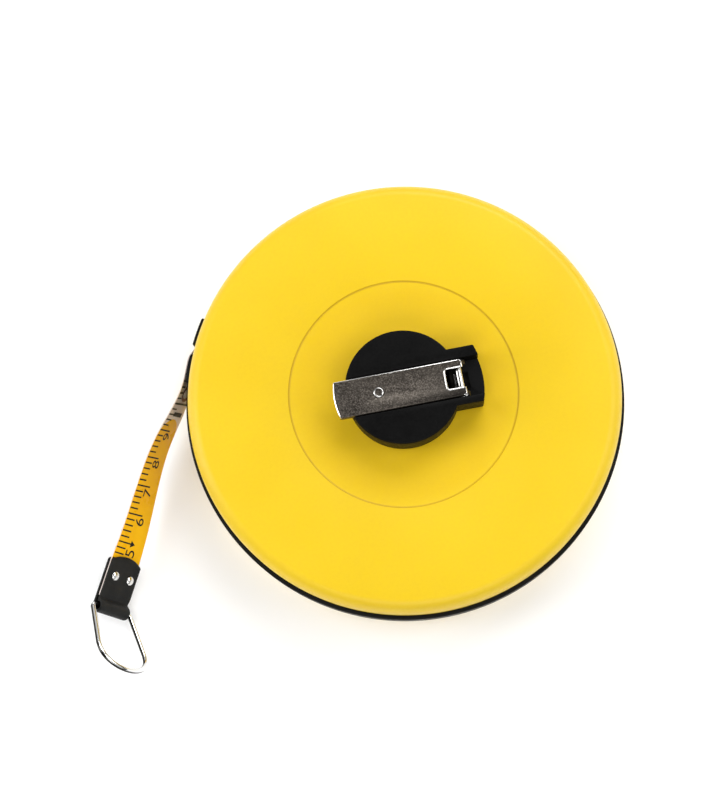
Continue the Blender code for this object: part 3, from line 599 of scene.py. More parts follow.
def strap_vinyl():
    """Black coated webbing: a fine weave pressed into a dull skin."""
    look = Look("strap_vinyl_look", (0.009, 0.009, 0.008), 0.55, specular=0.18)
    weave = look.noise(1900, 2, 0.4, (1.0, 1.0, 2.4))
    scuff = look.noise(240, 4, 0.6)
    worn = look.spread(scuff, 0, 0.7, 0.4, 0.7)
    look.colour(look.mix(worn, (0.006, 0.006, 0.0055), (0.020, 0.0195, 0.018)))
    look.roughness(look.spread(scuff, 0.46, 0.66))
    look.bump(weave, 0.4, 0.0001)
    look.bump(scuff, 0.15, 0.0002)
    return look.material


def floor_paper():
    look = Look("floor_paper_look", (0.93, 0.93, 0.93), 0.9)
    cloud = look.spread(look.noise(3, 2), 0, 0.5)
    look.colour(look.mix(cloud, (0.94, 0.94, 0.94), (0.92, 0.92, 0.925)))
    look.set("Emission Color", (1.0, 1.0, 1.0, 1.0))
    look.set("Emission Strength", 0.08)
    return look.material


# ---- camera, light, floor


def make_camera():
    camera = add_object("camera", bpy.data.cameras.new("camera"))
    camera.data.sensor_width = 36.0
    camera.data.lens = 80.1
    camera.data.clip_start = 0.05
    right = Vector((0.99890, 0.00841, -0.04605)).normalized()
    back = Vector((0.04681, -0.17941, 0.98266)).normalized()
    up = back.cross(right).normalized()
    right = up.cross(back)
    turn = Matrix((right, up, back)).transposed().to_4x4()
    camera.matrix_world = Matrix.Translation((0.01249, -0.10583, 0.59888)) @ turn
    bpy.context.scene.camera = camera


def area_light(name, place, size, power):
    data = bpy.data.lights.new(name, "AREA")
    data.shape = "RECTANGLE"
    data.size, data.size_y = size
    data.energy = power
    light = add_object(name, data)
    light.location = place
    direction = Vector(LIGHT_TARGET) - light.location
    light.rotation_euler = direction.to_track_quat("-Z", "Y").to_euler()


def make_studio():
    bpy.context.scene.view_settings.view_transform = "Standard"
    for light in LIGHTS:
        area_light(*light)
    world = bpy.data.worlds.new("studio")
    bpy.context.scene.world = world
    world.use_nodes = True
    tree = world.node_tree
    background = tree.nodes["Background"]
    place = tree.nodes.new("ShaderNodeTexCoord")
    split = tree.nodes.new("ShaderNodeSeparateXYZ")
    ramp = tree.nodes.new("ShaderNodeValToRGB")
    tree.links.new(place.outputs["Generated"], split.inputs["Vector"])
    tree.links.new(split.outputs["Z"], ramp.inputs["Fac"])
    fill_ramp(ramp, SKY_STOPS)
    tree.links.new(ramp.outputs["Color"], background.inputs["Color"])
    background.inputs["Strength"].default_value = SKY_STRENGTH
    floor = box("floor", (-FLOOR_HALF, -FLOOR_HALF, -0.02), (FLOOR_HALF, FLOOR_HALF, 0))
    floor.data.materials.append(floor_paper())


# ---- tape, strap and ring


def smooth_route(points, step):
    """Even points on a natural cubic spline through the route's points, and their distances along it."""
    knots = np.array(points, float) * MM
    at = np.concatenate(([0.0], np.cumsum(np.linalg.norm(np.diff(knots, axis=0), axis=1))))
    count = len(at)
    gaps = np.diff(at)
    system = np.eye(count)
    right = np.zeros((count, 3))
    for i in range(1, count - 1):
        system[i, i - 1 : i + 2] = gaps[i - 1], 2 * (gaps[i - 1] + gaps[i]), gaps[i]
        slope_change = (knots[i + 1] - knots[i]) / gaps[i] - (knots[i] - knots[i - 1]) / gaps[i - 1]
        right[i] = 6 * slope_change
    bend = np.linalg.solve(system, right)
    places = np.linspace(0, at[-1], round(at[-1] / step) + 1)
    line = []
    for place in places:
        i = min(np.searchsorted(at, place, side="right") - 1, count - 2)
        h = gaps[i]
        a = (at[i + 1] - place) / h
        b = 1 - a
        curve = (a**3 - a) * bend[i] + (b**3 - b) * bend[i + 1]
        line.append(a * knots[i] + b * knots[i + 1] + curve * h * h / 6)
    return np.array(line), places


class Ribbon:
    """The tape's free end as a surface: distance along it from the reel, and distance across it towards
    the edge with the marks."""

    def __init__(self):
        self.line, self.places = smooth_route(TAPE_ROUTE, ROUTE_STEP)
        directions = np.gradient(self.line, axis=0)
        self.along = directions / np.linalg.norm(directions, axis=1)[:, None]
        share = np.clip((self.places - TWIST_START) / (TWIST_END - TWIST_START), 0, 1)
        tilt = np.radians(90 + (FREE_TILT - 90) * share)[:, None]
        side = np.cross(self.along, (0, 0, 1))
        side /= np.linalg.norm(side, axis=1)[:, None]
        up = np.cross(side, self.along)
        self.across = side * np.cos(tilt) + up * np.sin(tilt)
        self.face = np.cross(self.across, self.along)

    def pick(self, values, place):
        return np.array([np.interp(place, self.places, values[:, k]) for k in range(3)])

    def point(self, place, offset, height):
        """height is out of the printed face, from the tape's middle."""
        return (
            self.pick(self.line, place)
            + self.pick(self.across, place) * offset
            + self.pick(self.face, place) * height
        )


def make_blade(ribbon):
    """The tape itself, with a UV map in millimetres along and across it."""
    columns = np.linspace(-TAPE_WIDTH / 2, TAPE_WIDTH / 2, 9)
    half = TAPE_THICK / 2
    edge = 0.08 * MM
    rows = []
    marks = []
    for place in ribbon.places:
        section = [(c, half) for c in columns] + [(columns[-1] + edge, 0.0)]
        section += [(c, -half) for c in reversed(columns)] + [(columns[0] - edge, 0.0)]
        rows.append([ribbon.point(place, across, height) for across, height in section])
        marks.extend((place / MM, across / MM) for across, _ in section)
    blade = solid("tape_free_end", rows, sharp=60)
    layer = blade.data.uv_layers.new(name="tape")
    for loop in blade.data.loops:
        layer.data[loop.index].uv = marks[loop.vertex_index]
    return blade


def add_patch(bm, ribbon, outline, low, high):
    """A flat mark on the tape: an outline of (reading, across) points, with a little height."""
    rows = [
        [ribbon.point(ZERO_AT - reading, across, height) for reading, across in outline]
        for height in (low, high)
    ]
    add_rows(bm, rows)


def make_film(ribbon):
    """The yellow film over the tape's end, with a round end of its own."""
    low = TAPE_THICK / 2 + 0.01 * MM
    high = low + 0.05 * MM
    half = TAPE_WIDTH / 2 - 0.05 * MM
    round_end = 6.2 * MM
    bm = bmesh.new()
    readings = np.concatenate(
        (
            np.arange(FILM_START, FILM_END - round_end, 1.0 * MM),
            FILM_END - round_end * (1 - np.sin(np.linspace(0, pi / 2, 14))),
        )
    )
    rows = []
    for reading in readings:
        inside = max(reading - (FILM_END - round_end), 0) / round_end
        width = max(half * sqrt(max(1 - inside**2, 0)), 0.3 * MM)
        columns = np.linspace(-width, width, 7)
        section = [(c, high) for c in columns] + [(c, low) for c in reversed(columns)]
        rows.append([ribbon.point(ZERO_AT - reading, across, height) for across, height in section])
    add_rows(bm, rows)
    return from_bmesh("tip_film", bm, 60)


def glyph(text, size):
    """A character as a filled flat mesh with a little thickness: its points and faces."""
    curve = bpy.data.curves.new("glyph", "FONT")
    curve.body = text
    curve.size = size
    curve.extrude = 0.5
    curve.resolution_u = 5
    obj = add_object("glyph", curve)
    bpy.context.view_layer.update()
    mesh = bpy.data.meshes.new_from_object(obj.evaluated_get(bpy.context.evaluated_depsgraph_get()))
    points = np.array([tuple(v.co) for v in mesh.vertices])
    faces = [tuple(p.vertices) for p in mesh.polygons]
    bpy.data.objects.remove(obj, do_unlink=True)
    bpy.data.meshes.remove(mesh)
    bpy.data.curves.remove(curve)
    points[:, :2] -= (points[:, :2].max(0) + points[:, :2].min(0)) / 2
    return points, faces


def add_glyph(bm, ribbon, text, height, centre, lifts, widen):
    """Adds a character whose top is towards the marks' edge and which reads towards the reel."""
    points, faces = glyph(text, height / 0.7)
    reading, across = centre
    verts = []
    for x, y, z in points:
        at = ribbon.point(ZERO_AT - reading - x * widen, across + y, lifts[int(z > 0)])
        verts.append(bm.verts.new(at))
    for face in faces:
        bm.faces.new([verts[i] for i in face])
    bmesh.ops.remove_doubles(bm, verts=verts, dist=1e-6)


def make_print(ribbon):
    """Marks every two millimetres, a longer one at each centimetre, and their numerals. Returns the
    black print and the red one."""
    low = TAPE_THICK / 2 + 0.06 * MM
    high = low + 0.03 * MM
    edge = TAPE_WIDTH / 2 - EDGE_LEFT
    bm = bmesh.new()

    def bar(reading, wide, inner, outer):
        steps = np.linspace(inner, outer, 5)
        outline = [(reading - wide / 2, a) for a in steps]
        outline += [(reading + wide / 2, a) for a in reversed(steps)]
        add_patch(bm, ribbon, outline, low, high)

    for mark in range(FIRST_MARK, LAST_MARK + 1, 2):
        if mark == 100:
            bar(mark * MM, TICK_WIDE * 1.25, -TAPE_WIDTH / 2 + 0.3 * MM, edge)
        elif mark == 50:
            bar(mark * MM, TICK_WIDE, edge - ARROW_FROM, edge)
        else:
            bar(mark * MM, TICK_WIDE, edge - (CM_TICK_LONG if mark % 10 == 0 else TICK_LONG), edge)
    base = edge - ARROW_FROM
    arrow = [(48.8 * MM, base), (51.2 * MM, base), (50.0 * MM, base - ARROW_LONG)]
    add_patch(bm, ribbon, arrow, low, high)
    for number in range(5, 10):
        at = (number * 10 - (3.1 if number == 5 else 2.1)) * MM
        add_glyph(bm, ribbon, str(number), NUMERAL_HIGH, (at, -0.7 * MM), (low, high), 1.05)
    add_glyph(bm, ribbon, "1", DECADE_HIGH, (96.2 * MM, -1.1 * MM), (low, high), 1.5)
    marks = from_bmesh("tape_marks", bm, 60)
    bm = bmesh.new()
    add_glyph(bm, ribbon, "0", DECADE_HIGH, (103.6 * MM, -1.3 * MM), (low, high), 1.2)
    return marks, from_bmesh("tape_decade_zero", bm, 60)


def strap_matrix(ribbon):
    """The strap's frame: X back along the tape, Y across it, Z out of the printed face."""
    along = Vector(ribbon.along[-1])
    across = Vector(ribbon.across[-1])
    point = Vector(ribbon.line[-1]) + along * LOOP_CENTRE_GAP
    turn = Matrix((-along, across, across.cross(along))).transposed().to_4x4()
    return Matrix.Translation(point) @ turn


def make_strap(place):
    """The folded strap: its back layer runs straight into the loop, its front one is creased before it."""
    outer = STRAP_INSIDE + STRAP_LAYER
    loop_out = LOOP_R + STRAP_LAYER
    centre = (0, LOOP_LIFT)
    neck = degrees(asin((STRAP_INSIDE - LOOP_LIFT) / LOOP_R))
    shoulder = 38.0
    crease = 0.35 * MM
    ease = 0.22 * MM
    near = np.array((0, 0.3, 1)) * ease - STRAP_HALF
    middle = np.linspace(-STRAP_HALF + 0.8 * MM, STRAP_HALF - 0.8 * MM, 15)
    rows = []
    for y in np.concatenate((near, middle, -near[::-1])):
        end = STRAP_LENGTH - y * y / STRAP_END_CURVE
        from_edge = min(STRAP_HALF - abs(y), ease)
        thin = ease * (1 - sqrt(max(1 - (1 - from_edge / ease) ** 2, 0))) * 0.7
        top = outer - thin
        inner = STRAP_INSIDE + thin * 0.4
        run = [(end + (4.8 * MM - end) * t, top) for t in np.linspace(0.03, 1, 12)]
        dip = [(3.9 * MM, top - crease * 0.4), (3.2 * MM, top - crease), (2.7 * MM, top - crease * 0.9)]
        back = [(end + (0.4 * MM - end) * t, -top) for t in np.linspace(1, 0.03, 14)]
        section = [(end, inner), (end, top - 0.25 * MM)] + run + dip
        section += arc(centre, loop_out - thin, shoulder, 270, 26) + back
        section += [(end, -(top - 0.25 * MM)), (end, -inner)]
        section += arc(centre, LOOP_R + thin * 0.4, 270, neck, 18)
        rows.append([place @ Vector((x, y, z)) for x, z in section])
    return solid("strap", rows, sharp=50)


def make_strap_rivet(name, y, place):
    """A rivet with a low domed head on each side of the strap."""
    face = STRAP_INSIDE + STRAP_LAYER + 0.02 * MM
    dome = [
        (STRAP_RIVET_HEAD * sin(a), face + 0.18 * MM + 0.72 * MM * cos(a))
        for a in np.linspace(0, pi / 2, 9)
    ]
    half = dome + [(STRAP_RIVET_HEAD - 0.05 * MM, face), (0.8 * MM, face)]
    profile = half + [(r, -z) for r, z in reversed(half)]
    rivet = turned(name, [(0, 0)] + profile[1:-1] + [(0, 0)], 40)
    rivet.data.transform(place @ Matrix.Translation((STRAP_RIVET_X, y, 0)))
    return rivet


def make_ring(place):
    """The wire ring and its finish."""
    bar = RING_BAR_HALF - RING_CORNER
    points = arc((-RING_CORNER, bar), RING_CORNER, 0, 90, 8)
    points += [
        (-RING_LEG - (RING_LENGTH - RING_LEG) * sin(a) ** 0.8, RING_FOOT_HALF * cos(a))
        for a in np.linspace(0, pi, 61)
    ]
    points += arc((-RING_CORNER, -bar), RING_CORNER, 270, 360, 8)
    points += [(0.0, y) for y in np.linspace(-bar, bar, 9)[1:-1]]
    turn = place @ Matrix.Translation((0, 0, LOOP_LIFT))
    turn = turn @ Matrix.Rotation(radians(RING_SKEW), 4, "X")
    turn = turn @ Matrix.Rotation(radians(RING_SWING), 4, "Y")
    ring = wire("wire_ring", points, WIRE_R, 20, ring=True)
    ring.data.transform(turn)
    return ring, wire_chrome(turn.to_3x3() @ Vector((0, 0, 1)))


def make_tape_end(looks):
    ribbon = Ribbon()
    place = strap_matrix(ribbon)
    blade = make_blade(ribbon)
    film = make_film(ribbon)
    marks, zero = make_print(ribbon)
    strap = make_strap(place)
    rivets = [
        make_strap_rivet(f"strap_rivet_head_{number}", y, place)
        for number, y in enumerate((STRAP_RIVET_Y, -STRAP_RIVET_Y), 1)
    ]
    ring, ring_look = make_ring(place)
    settle(blade, looks["tape"], "tape_end", "coated_fibreglass", "tape_blade")
    settle(film, looks["film"], "tape_end", "coated_fibreglass")
    settle(marks, looks["ink"], "tape_end", "coated_fibreglass")
    settle(zero, looks["red_ink"], "tape_end", "coated_fibreglass")
    settle(strap, looks["strap"], "tape_end", "strap_vinyl", "end_strap")
    for number, rivet in enumerate(rivets, 1):
        settle(rivet, looks["steel"], "tape_end", "bright_steel", f"strap_rivet_{number}")
    settle(ring, ring_look, "ring", "bright_steel", "end_ring")


# ---- case


def corner_curve(edge, centre, wide, deep, steps):
    """The corner between a cover's wall at radius edge and its face, as a quarter of an ellipse."""
    turns = np.linspace(0, pi / 2, steps + 1)
    return [(edge - wide + wide * cos(a), centre + deep * sin(a)) for a in turns]


def cover_section():
    """A cover's section in three runs: outside from its rim, the face's sunk disc, and the inside."""
    inner_edge = CASE_R - WALL
    centre = COVER_DEPTH - CORNER_DEEP
    lip = 0.25 * MM
    outside = [(CASE_R - lip, 0.0), (CASE_R, lip)]
    outside += corner_curve(CASE_R, centre, CORNER_WIDE, CORNER_DEEP, 16)
    step = ((0.55, 0.0), (0.30, 0.06), (0.12, 0.28), (-0.05, 0.40), (-0.35, FACE_DISC_DEPTH / MM))
    disc = [(FACE_DISC_R + out * MM, COVER_DEPTH - down * MM) for out, down in step]
    inner_corner = corner_curve(inner_edge, centre, CORNER_WIDE - WALL, CORNER_DEEP - FLOOR, 6)
    inside = inner_corner[::-1] + [(inner_edge, 0.0)]
    return outside, disc, inside


def turned_cover(name, section, rim_low, rim_mouth):
    """Turns a cover, whose wall is cut back at the mouth from rim_low to rim_mouth."""
    step = 0.06
    edges = [MOUTH_START - 0.3, MOUTH_END + 0.3]
    angles = [a for a in np.linspace(0, 360, 241)[:-1] if all(abs(a - e) > 0.4 for e in edges)]
    for edge, inward in zip(edges, (1, -1)):
        angles += [edge, edge + inward * step]
    rows = []
    for angle in sorted(angles):
        in_mouth = edges[0] < angle < edges[1]
        a = radians(angle)
        row = []
        for r, z in section:
            if in_mouth and r > 64 * MM:
                z = max(z, rim_mouth) if rim_mouth > rim_low else min(z, rim_mouth)
            row.append((r * cos(a), r * sin(a), z))
        rows.append(row)
    return solid(name, rows, ring=True, sharp=32)


def make_front_cover(look):
    outside, disc, inside = cover_section()
    hole_r = 16.2 * MM
    collar_r = 18.2 * MM
    face = COVER_DEPTH - FACE_DISC_DEPTH
    collar_low = COVER_DEPTH - 4.4 * MM
    floor = COVER_DEPTH - FLOOR
    middle = disc + [
        (hole_r + 0.4 * MM, face),
        (hole_r, face - 0.4 * MM),
        (hole_r, collar_low),
        (collar_r, collar_low),
        (collar_r, floor),
    ]
    base = THICKNESS - COVER_DEPTH
    section = [(r, z + base) for r, z in outside + middle + inside]
    cover = turned_cover("front_shell", section, base, LIP_HIGH + 0.3 * MM)
    settle(cover, look, "case", "cover_plastic", "front_cover")


def make_back_cover(look):
    outside, disc, inside = cover_section()
    face = COVER_DEPTH - FACE_DISC_DEPTH
    seat_r = 11.3 * MM
    seat = COVER_DEPTH - 1.6 * MM
    head_r = 3.4 * MM
    head_seat = COVER_DEPTH - 3.2 * MM
    shank_r = 1.8 * MM
    inside_face = COVER_DEPTH - 4.6 * MM
    centre_r = 13.5 * MM
    floor = COVER_DEPTH - FLOOR
    middle = disc + [
        (seat_r + 0.3 * MM, face),
        (seat_r, face - 0.3 * MM),
        (seat_r, seat),
        (head_r, seat),
        (head_r, head_seat),
        (shank_r, head_seat),
        (shank_r, inside_face),
        (centre_r, inside_face),
        (centre_r, floor),
    ]
    section = [(r, COVER_DEPTH - z) for r, z in outside + middle + inside]
    cover = turned_cover("back_shell", section, COVER_DEPTH, LIP_LOW - 0.3 * MM)
    for angle in (45, 135, 225, 315):
        x, y, _ = heading(angle)
        at = (SCREW_CIRCLE_R * x, SCREW_CIRCLE_R * y)
        seat_hole = rod("seat", 2.4 * MM, -1 * MM, 1.3 * MM, 40, at)
        cut(cover, seat_hole, rod("hole", 1.25 * MM, -1 * MM, 4 * MM, 24, at))
    settle(cover, look, "case", "cover_plastic", "back_cover")


def mirrored(half):
    """A section's lower half with its mirror image above it."""
    return half + [(r, THICKNESS - z) for r, z in reversed(half)]


def make_band(look):
    """The black middle band: an outer rib with eased edges on a sleeve behind both covers."""
    ease = 0.5 * MM
    half = [(SLEEVE_IN, SLEEVE_LOW), (SLEEVE_OUT, SLEEVE_LOW), (SLEEVE_OUT, BAND_LOW)]
    half += arc((BAND_R - ease, BAND_LOW + ease), ease, -90, 0, 4)
    span = (MOUTH_END + 0.3, MOUTH_START - 0.3 + 360)
    band = turned("middle_band", mirrored(half), 220, span)
    settle(band, look, "case", "black_plastic", "rim_band")


def lip_outline(span, first_round, last_round, inset):
    """A lip's plan along the rim, from span[0] to span[1] degrees, with its outer corners rounded."""
    start = radians(span[0]) * LIP_R + inset
    end = radians(span[1]) * LIP_R - inset
    outer = LIP_R - inset
    unrolled = [(start, LIP_ROOT_R)]
    unrolled += arc((start + first_round, outer - first_round), first_round, 180, 90, 8)
    middle = np.linspace(start + first_round, end - last_round, 8)[1:-1]
    unrolled += [(t, outer) for t in middle]
    unrolled += arc((end - last_round, outer - last_round), last_round, 90, 0, 8)
    unrolled.append((end, LIP_ROOT_R))
    unrolled += [(t, LIP_ROOT_R) for t in reversed(middle)]
    return [(r * cos(t / LIP_R), r * sin(t / LIP_R)) for t, r in unrolled]


def make_mouth(look):
    """The block in the band's gap, with a smooth lip on each side of the tape's way out."""
    core = [(SLEEVE_IN, LIP_LOW + 0.2 * MM), (CASE_R - 0.3 * MM, LIP_LOW + 0.2 * MM)]
    guide = turned("mouth_lips", mirrored(core), 24, (MOUTH_START, MOUTH_END))
    top = eased_top(LIP_HIGH, 0.35 * MM, 5)
    levels = [(THICKNESS - z, inset) for z, inset in reversed(top)] + top
    for name, span, first_round, last_round in (
        ("upper_lip", UPPER_LIP, 0.5 * MM, 0.6 * MM),
        ("lower_lip", LOWER_LIP, 1.4 * MM, 0.5 * MM),
    ):
        join(guide, stack(name, partial(lip_outline, span, first_round, last_round), levels))
    ease = 0.4 * MM
    rib = [(CASE_R - 1 * MM, BAND_LOW), (BAND_R - ease, BAND_LOW), (BAND_R, BAND_LOW + ease)]
    for name, span in (
        ("upper_rib", (MOUTH_START + 0.1, UPPER_LIP[0] + 1)),
        ("lower_rib", (LOWER_LIP[1] - 1, MOUTH_END - 0.1)),
    ):
        join(guide, turned(name, mirrored(rib), 5, span))
    run_r = ROLL_R + TAPE_THICK / 2
    half = TAPE_THICK / 2 + 0.6 * MM
    side = [(half, 44 * MM), (half, 29 * MM), (half + 5 * MM, 20 * MM)]
    way = [(run_r - across, y) for across, y in side] + [(run_r + across, y) for across, y in side[::-1]]
    low = LIP_LOW + 1.0 * MM
    slot = prism("way", way, low, THICKNESS - low)
    slot.data.transform(Matrix.Rotation(radians(TANGENT_ANGLE), 4, "Z"))
    cut(guide, slot)
    settle(guide, look, "case", "black_plastic", "mouth_guide")


# ---- hub and crank


def in_crank_frame(obj):
    obj.data.transform(Matrix.Rotation(radians(CRANK_ANGLE), 4, "Z"))


def across_hinge(name, radius, reach, steps=40):
    """A cylinder along the hinge's axis, in the crank frame."""
    obj = rod(name, radius, -reach, reach, steps)
    obj.data.transform(Matrix.Rotation(radians(90), 4, "X"))
    obj.data.transform(Matrix.Translation((HINGE_U, ARM_OFFSET, HINGE_Z)))
    return obj


def hub_outline(inset):
    tab_r = TAB_R - inset
    tab_half = TAB_HALF - inset
    radius = HUB_R - inset
    corner = 0.7 * MM
    tab_angle = degrees(asin((tab_half - corner) / tab_r))
    root_angle = degrees(asin(tab_half / radius))
    outline = arc((0, 0), tab_r, -tab_angle, tab_angle, 20)
    end_x = tab_r * cos(radians(tab_angle))
    outline += [(end_x - 0.1 * MM, tab_half - 0.2 * MM), (end_x - 0.5 * MM, tab_half)]
    outline += arc((0, 0), radius, root_angle, 360 - root_angle, 110)
    outline += [(end_x - 0.5 * MM, -tab_half), (end_x - 0.1 * MM, -tab_half + 0.2 * MM)]
    return outline


def make_hub(look):
    levels = [(HUB_LOW, 0.25 * MM), (HUB_LOW + 0.4 * MM, 0.0)] + eased_top(HUB_TOP, 0.6 * MM, 6)
    hub = stack("hub", hub_outline, levels)
    join(hub, rod("stem", STEM_R, STEM_LOW, HUB_LOW + 2 * MM, 96))
    side = ARM_HALF + 0.4 * MM
    low_y = ARM_OFFSET - side
    high_y = ARM_OFFSET + side
    past = 30 * MM
    swing_r = hypot(HINGE_U - KNOB_U + KNOB_R, HINGE_Z - KNOB_LOW)
    room_r = KNOB_R + 0.5 * MM
    far_u = HINGE_U - swing_r - 0.4 * MM + room_r
    outline = arc((KNOB_U, ARM_OFFSET), room_r, -90, 90, 20)
    outline += arc((far_u, ARM_OFFSET), room_r, 90, 270, 20)
    cut(
        hub,
        box("channel", (-past, low_y, CHANNEL_FLOOR), (past, high_y, 50 * MM)),
        box("pocket", (HINGE_U - 4.6 * MM, low_y, POCKET_FLOOR), (past, high_y, 50 * MM)),
        prism("room", outline, KNOB_LOW - 0.8 * MM, 50 * MM),
        across_hinge("pin_hole", PIN_R + 0.3 * MM, TAB_HALF - 0.8 * MM),
    )
    soften(hub, 0.22 * MM, 2)
    in_crank_frame(hub)
    settle(hub, look, "reel", "black_plastic", "crank_hub")


def arm_outline(inset, corner=1.0 * MM):
    half = ARM_HALF - inset
    end_r = ARM_END_R - inset
    nose = ARM_NOSE_U - inset
    low = degrees(asin((ARM_OFFSET + half - 0.3 * MM) / end_r))
    high = degrees(asin((ARM_OFFSET - half + 0.3 * MM) / end_r))
    end = arc((0, 0), end_r, 180 - low, 180 - high, 24)
    first = (end[0][0] + 0.35 * MM, ARM_OFFSET + half)
    last = (end[-1][0] + 0.35 * MM, ARM_OFFSET - half)
    lower = arc((nose - corner, ARM_OFFSET - half + corner), corner, -90, 0, 8)
    upper = arc((nose - corner, ARM_OFFSET + half - corner), corner, 0, 90, 8)
    return [first] + end + [last] + lower + upper


def make_window_lip(look):
    """The rolled lip round three sides of the arm's window, a part of the arm, in the painted highlight
    look.
    """
    inside = WINDOW_HALF + 0.12 * MM
    left = WINDOW_U - 0.12 * MM
    corner = 0.9 * MM
    right = ARM_NOSE_U - 0.7 * MM
    line = [(right, -inside)]
    line += arc((left + corner, -inside + corner), corner, 270, 180, 6)
    line += arc((left + corner, inside - corner), corner, 180, 90, 6)
    line.append((right, inside))
    lip = wire("window_lip", line, 0.3 * MM, 12)
    lip.data.transform(Matrix.Translation((0, ARM_OFFSET, ARM_TOP - 0.12 * MM)))
    in_crank_frame(lip)
    settle(lip, look, "crank", "plated_steel")


def make_arm(look, highlight_look):
    """The stamped tray of the crank, with rolled outer edges."""
    low = ARM_TOP - ARM_DEPTH
    levels = [(low, 0.1 * MM), (low + 0.15 * MM, 0.0)] + eased_top(ARM_TOP, 0.55 * MM, 7)
    arm = stack("crank_tray", arm_outline, levels)
    join(arm, across_hinge("ears", EAR_R, ARM_HALF))
    hollow = arm_outline(ARM_RIM, 0.5 * MM)
    inner = ARM_HALF - 1.6 * MM
    at = (KNOB_U, ARM_OFFSET)
    cut(
        arm,
        prism("hollow", hollow, low - 1 * MM, ARM_TOP - ARM_PLATE),
        box(
            "between_ears",
            (HINGE_U - 5 * MM, ARM_OFFSET - inner, HINGE_Z - 5 * MM),
            (HINGE_U + 5 * MM, ARM_OFFSET + inner, ARM_TOP - ARM_PLATE),
        ),
        box(
            "window",
            (WINDOW_U, ARM_OFFSET - WINDOW_HALF, HINGE_Z - 5 * MM),
            (HINGE_U + 5 * MM, ARM_OFFSET + WINDOW_HALF, 50 * MM),
        ),
        across_hinge("pin_hole", PIN_R + 0.3 * MM, 10 * MM),
        rod("rivet_hole", RIVET_R + 0.3 * MM, 40 * MM, 50 * MM, 32, at),
        rod("rivet_seat", RIVET_HEAD_R + 0.15 * MM, ARM_TOP - 0.6 * MM, 50 * MM, 40, at),
    )
    soften(arm, 0.18 * MM, 3, 50)
    settle(arm, look, "crank", "plated_steel", "crank_arm")
    # Painted highlight: rolled edges on the side that faces the light get the lighter look.
    arm.data.materials.append(highlight_look)
    for face in arm.data.polygons:
        centre = face.center
        lit_side = face.normal.y > 0.2 or face.normal.x < -0.35 or centre.x > WINDOW_U - 1.2 * MM
        bent = 0.12 < face.normal.z < 0.93
        if lit_side and bent and centre.z > ARM_TOP - ARM_PLATE - 0.3 * MM:
            face.material_index = 1
    in_crank_frame(arm)


def make_knob_rivet(look, dish_shade_look):
    """The dished rivet that the knob turns on."""
    low = KNOB_LOW + 0.3 * MM
    profile = [(0, low), (1.8 * MM, low), (1.8 * MM, low + 0.6 * MM), (RIVET_R, low + 0.6 * MM)]
    profile += [(RIVET_R, ARM_TOP - 0.3 * MM), (RIVET_HEAD_R, ARM_TOP - 0.3 * MM)]
    lip = 0.38 * MM
    profile += arc((RIVET_HEAD_R - lip, ARM_TOP), lip, 0, 180, 10)
    profile += [(0.75 * MM, ARM_TOP - 0.2 * MM), (0.35 * MM, ARM_TOP - 0.3 * MM), (0, ARM_TOP - 0.3 * MM)]
    rivet = turned("knob_rivet_head", profile, 48)
    dish_r = RIVET_HEAD_R - 0.5 * MM
    settle(rivet, look, "crank", "bright_steel", "knob_rivet")
    # Painted shade: the dished middle of the head gets the dark plating look.
    rivet.data.materials.append(dish_shade_look)
    for face in rivet.data.polygons:
        if hypot(face.center.x, face.center.y) < dish_r and face.center.z > ARM_TOP - 0.5 * MM:
            face.material_index = 1
    rivet.data.transform(Matrix.Translation((KNOB_U, ARM_OFFSET, 0)))
    in_crank_frame(rivet)


def make_knob(look):
    """The winding knob, waisted for the fingers."""
    bore = RIVET_R + 0.3 * MM
    base = KNOB_LOW + 1.2 * MM
    profile = [(bore, KNOB_TOP), (bore, base), (2.2 * MM, base), (2.2 * MM, KNOB_LOW)]
    profile += arc((KNOB_R - 0.9 * MM, KNOB_LOW + 0.9 * MM), 0.9 * MM, -90, 0, 6)
    length = KNOB_TOP - KNOB_LOW - 2.0 * MM
    profile += [
        (KNOB_R - 0.5 * MM * sin(pi * t), KNOB_LOW + 0.9 * MM + length * t)
        for t in np.linspace(0.1, 1, 9)
    ]
    profile += [(KNOB_R - 0.3 * MM, KNOB_TOP - 0.3 * MM), (KNOB_R - 0.6 * MM, KNOB_TOP)]
    knob = turned("knob_grip", profile, 64)
    knob.data.transform(Matrix.Translation((KNOB_U, ARM_OFFSET, 0)))
    in_crank_frame(knob)
    settle(knob, look, "knob", "black_plastic", "winding_knob")


def make_hinge_pin(look):
    pin = across_hinge("hinge_rod", PIN_R, TAB_HALF - 1.1 * MM, 48)
    soften(pin, 0.2 * MM, 3)
    in_crank_frame(pin)
    settle(pin, look, "reel", "bright_steel", "hinge_pin")


# ---- the scene


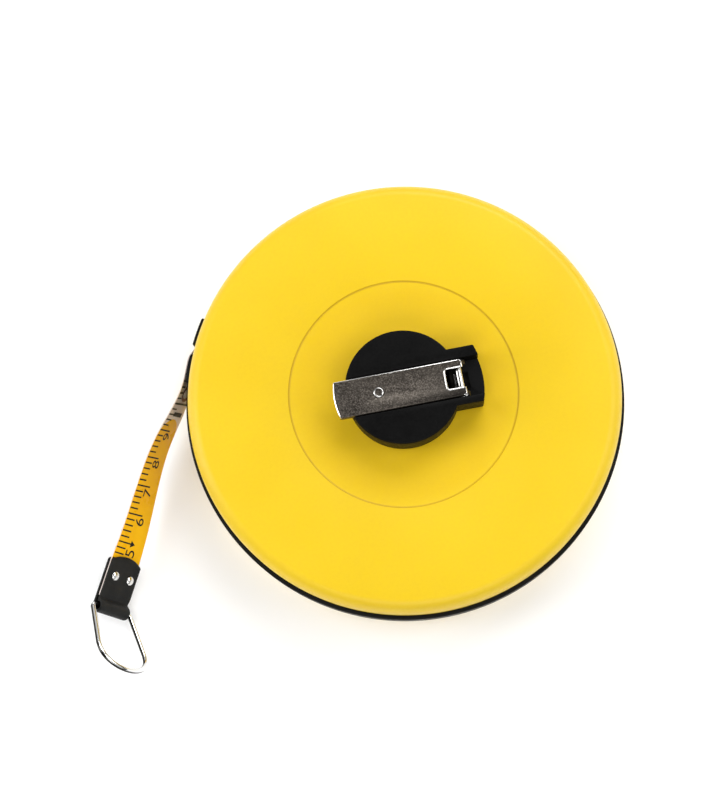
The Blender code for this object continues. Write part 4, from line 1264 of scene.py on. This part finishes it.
def dress_cad_nodes(looks):
    """Gives the CAD nodes that stay in the scene their finishes."""
    for look, names in (
        ("black", ("back_cap",)),
        ("reel", ("reel_core", "front_flange", "back_flange")),
        ("nylon", ("front_bush", "thrust_washer", "spindle_bush")),
        ("wound", ("tape_roll",)),
        ("steel", ("spindle", "spindle_screw", "tape_anchor", "hub_screw")),
        ("spring", ("detent_spring",)),
        ("steel", tuple(f"case_screw_{number}" for number in range(1, 5))),
    ):
        for name in names:
            mesh = NODES[name].data
            mesh.materials.clear()
            mesh.materials.append(looks[look])


def make_looks():
    reel = (0.06, 0.06, 0.065)
    nylon = (0.75, 0.73, 0.68)
    wound = (0.62, 0.52, 0.46)
    return {
        "yellow": yellow_plastic(),
        # Front cover: yellow plastic with painted shade in its sunk disc and a painted shadow line at its
        # step
        "front": yellow_plastic("front_plastic_look", FACE_DISC_R),
        "black": black_plastic(),
        "band": black_plastic("band_plastic_look", 0.009, 0.4, 1100),
        "reel": mottled("reel_plastic_look", reel, darker(reel), 0.5, (160, 3), (1800, 0.12, 0.00005)),
        "nylon": mottled("bearing_nylon_look", nylon, darker(nylon), 0.5, (160, 3), (1800, 0.12, 0.00005)),
        "steel": bright_steel(),
        "spring": spring_steel(),
        "plated": plated_steel(),
        # Painted highlight look, for the arm's lit edges and the window's lip
        "edge": polished_edge(),
        "tape": tape_coat(),
        "wound": mottled("wound_tape_look", wound, (0.42, 0.33, 0.28), 0.6, (420, 4), (900, 0.2, 0.0001)),
        "film": film_coat(),
        "ink": ink("black_ink_look", (0.012, 0.009, 0.008)),
        "red_ink": ink("red_ink_look", (0.16, 0.03, 0.02)),
        "strap": strap_vinyl(),
    }


def main():
    make_camera()
    looks = make_looks()
    make_tape_end(looks)
    make_studio()
    make_front_cover(looks["front"])
    make_back_cover(looks["yellow"])
    make_band(looks["band"])
    make_mouth(looks["band"])
    make_hub(looks["black"])
    make_arm(looks["plated"], looks["edge"])
    make_window_lip(looks["edge"])
    make_knob_rivet(looks["steel"], looks["plated"])
    make_knob(looks["black"])
    make_hinge_pin(looks["steel"])
    dress_cad_nodes(looks)


main()
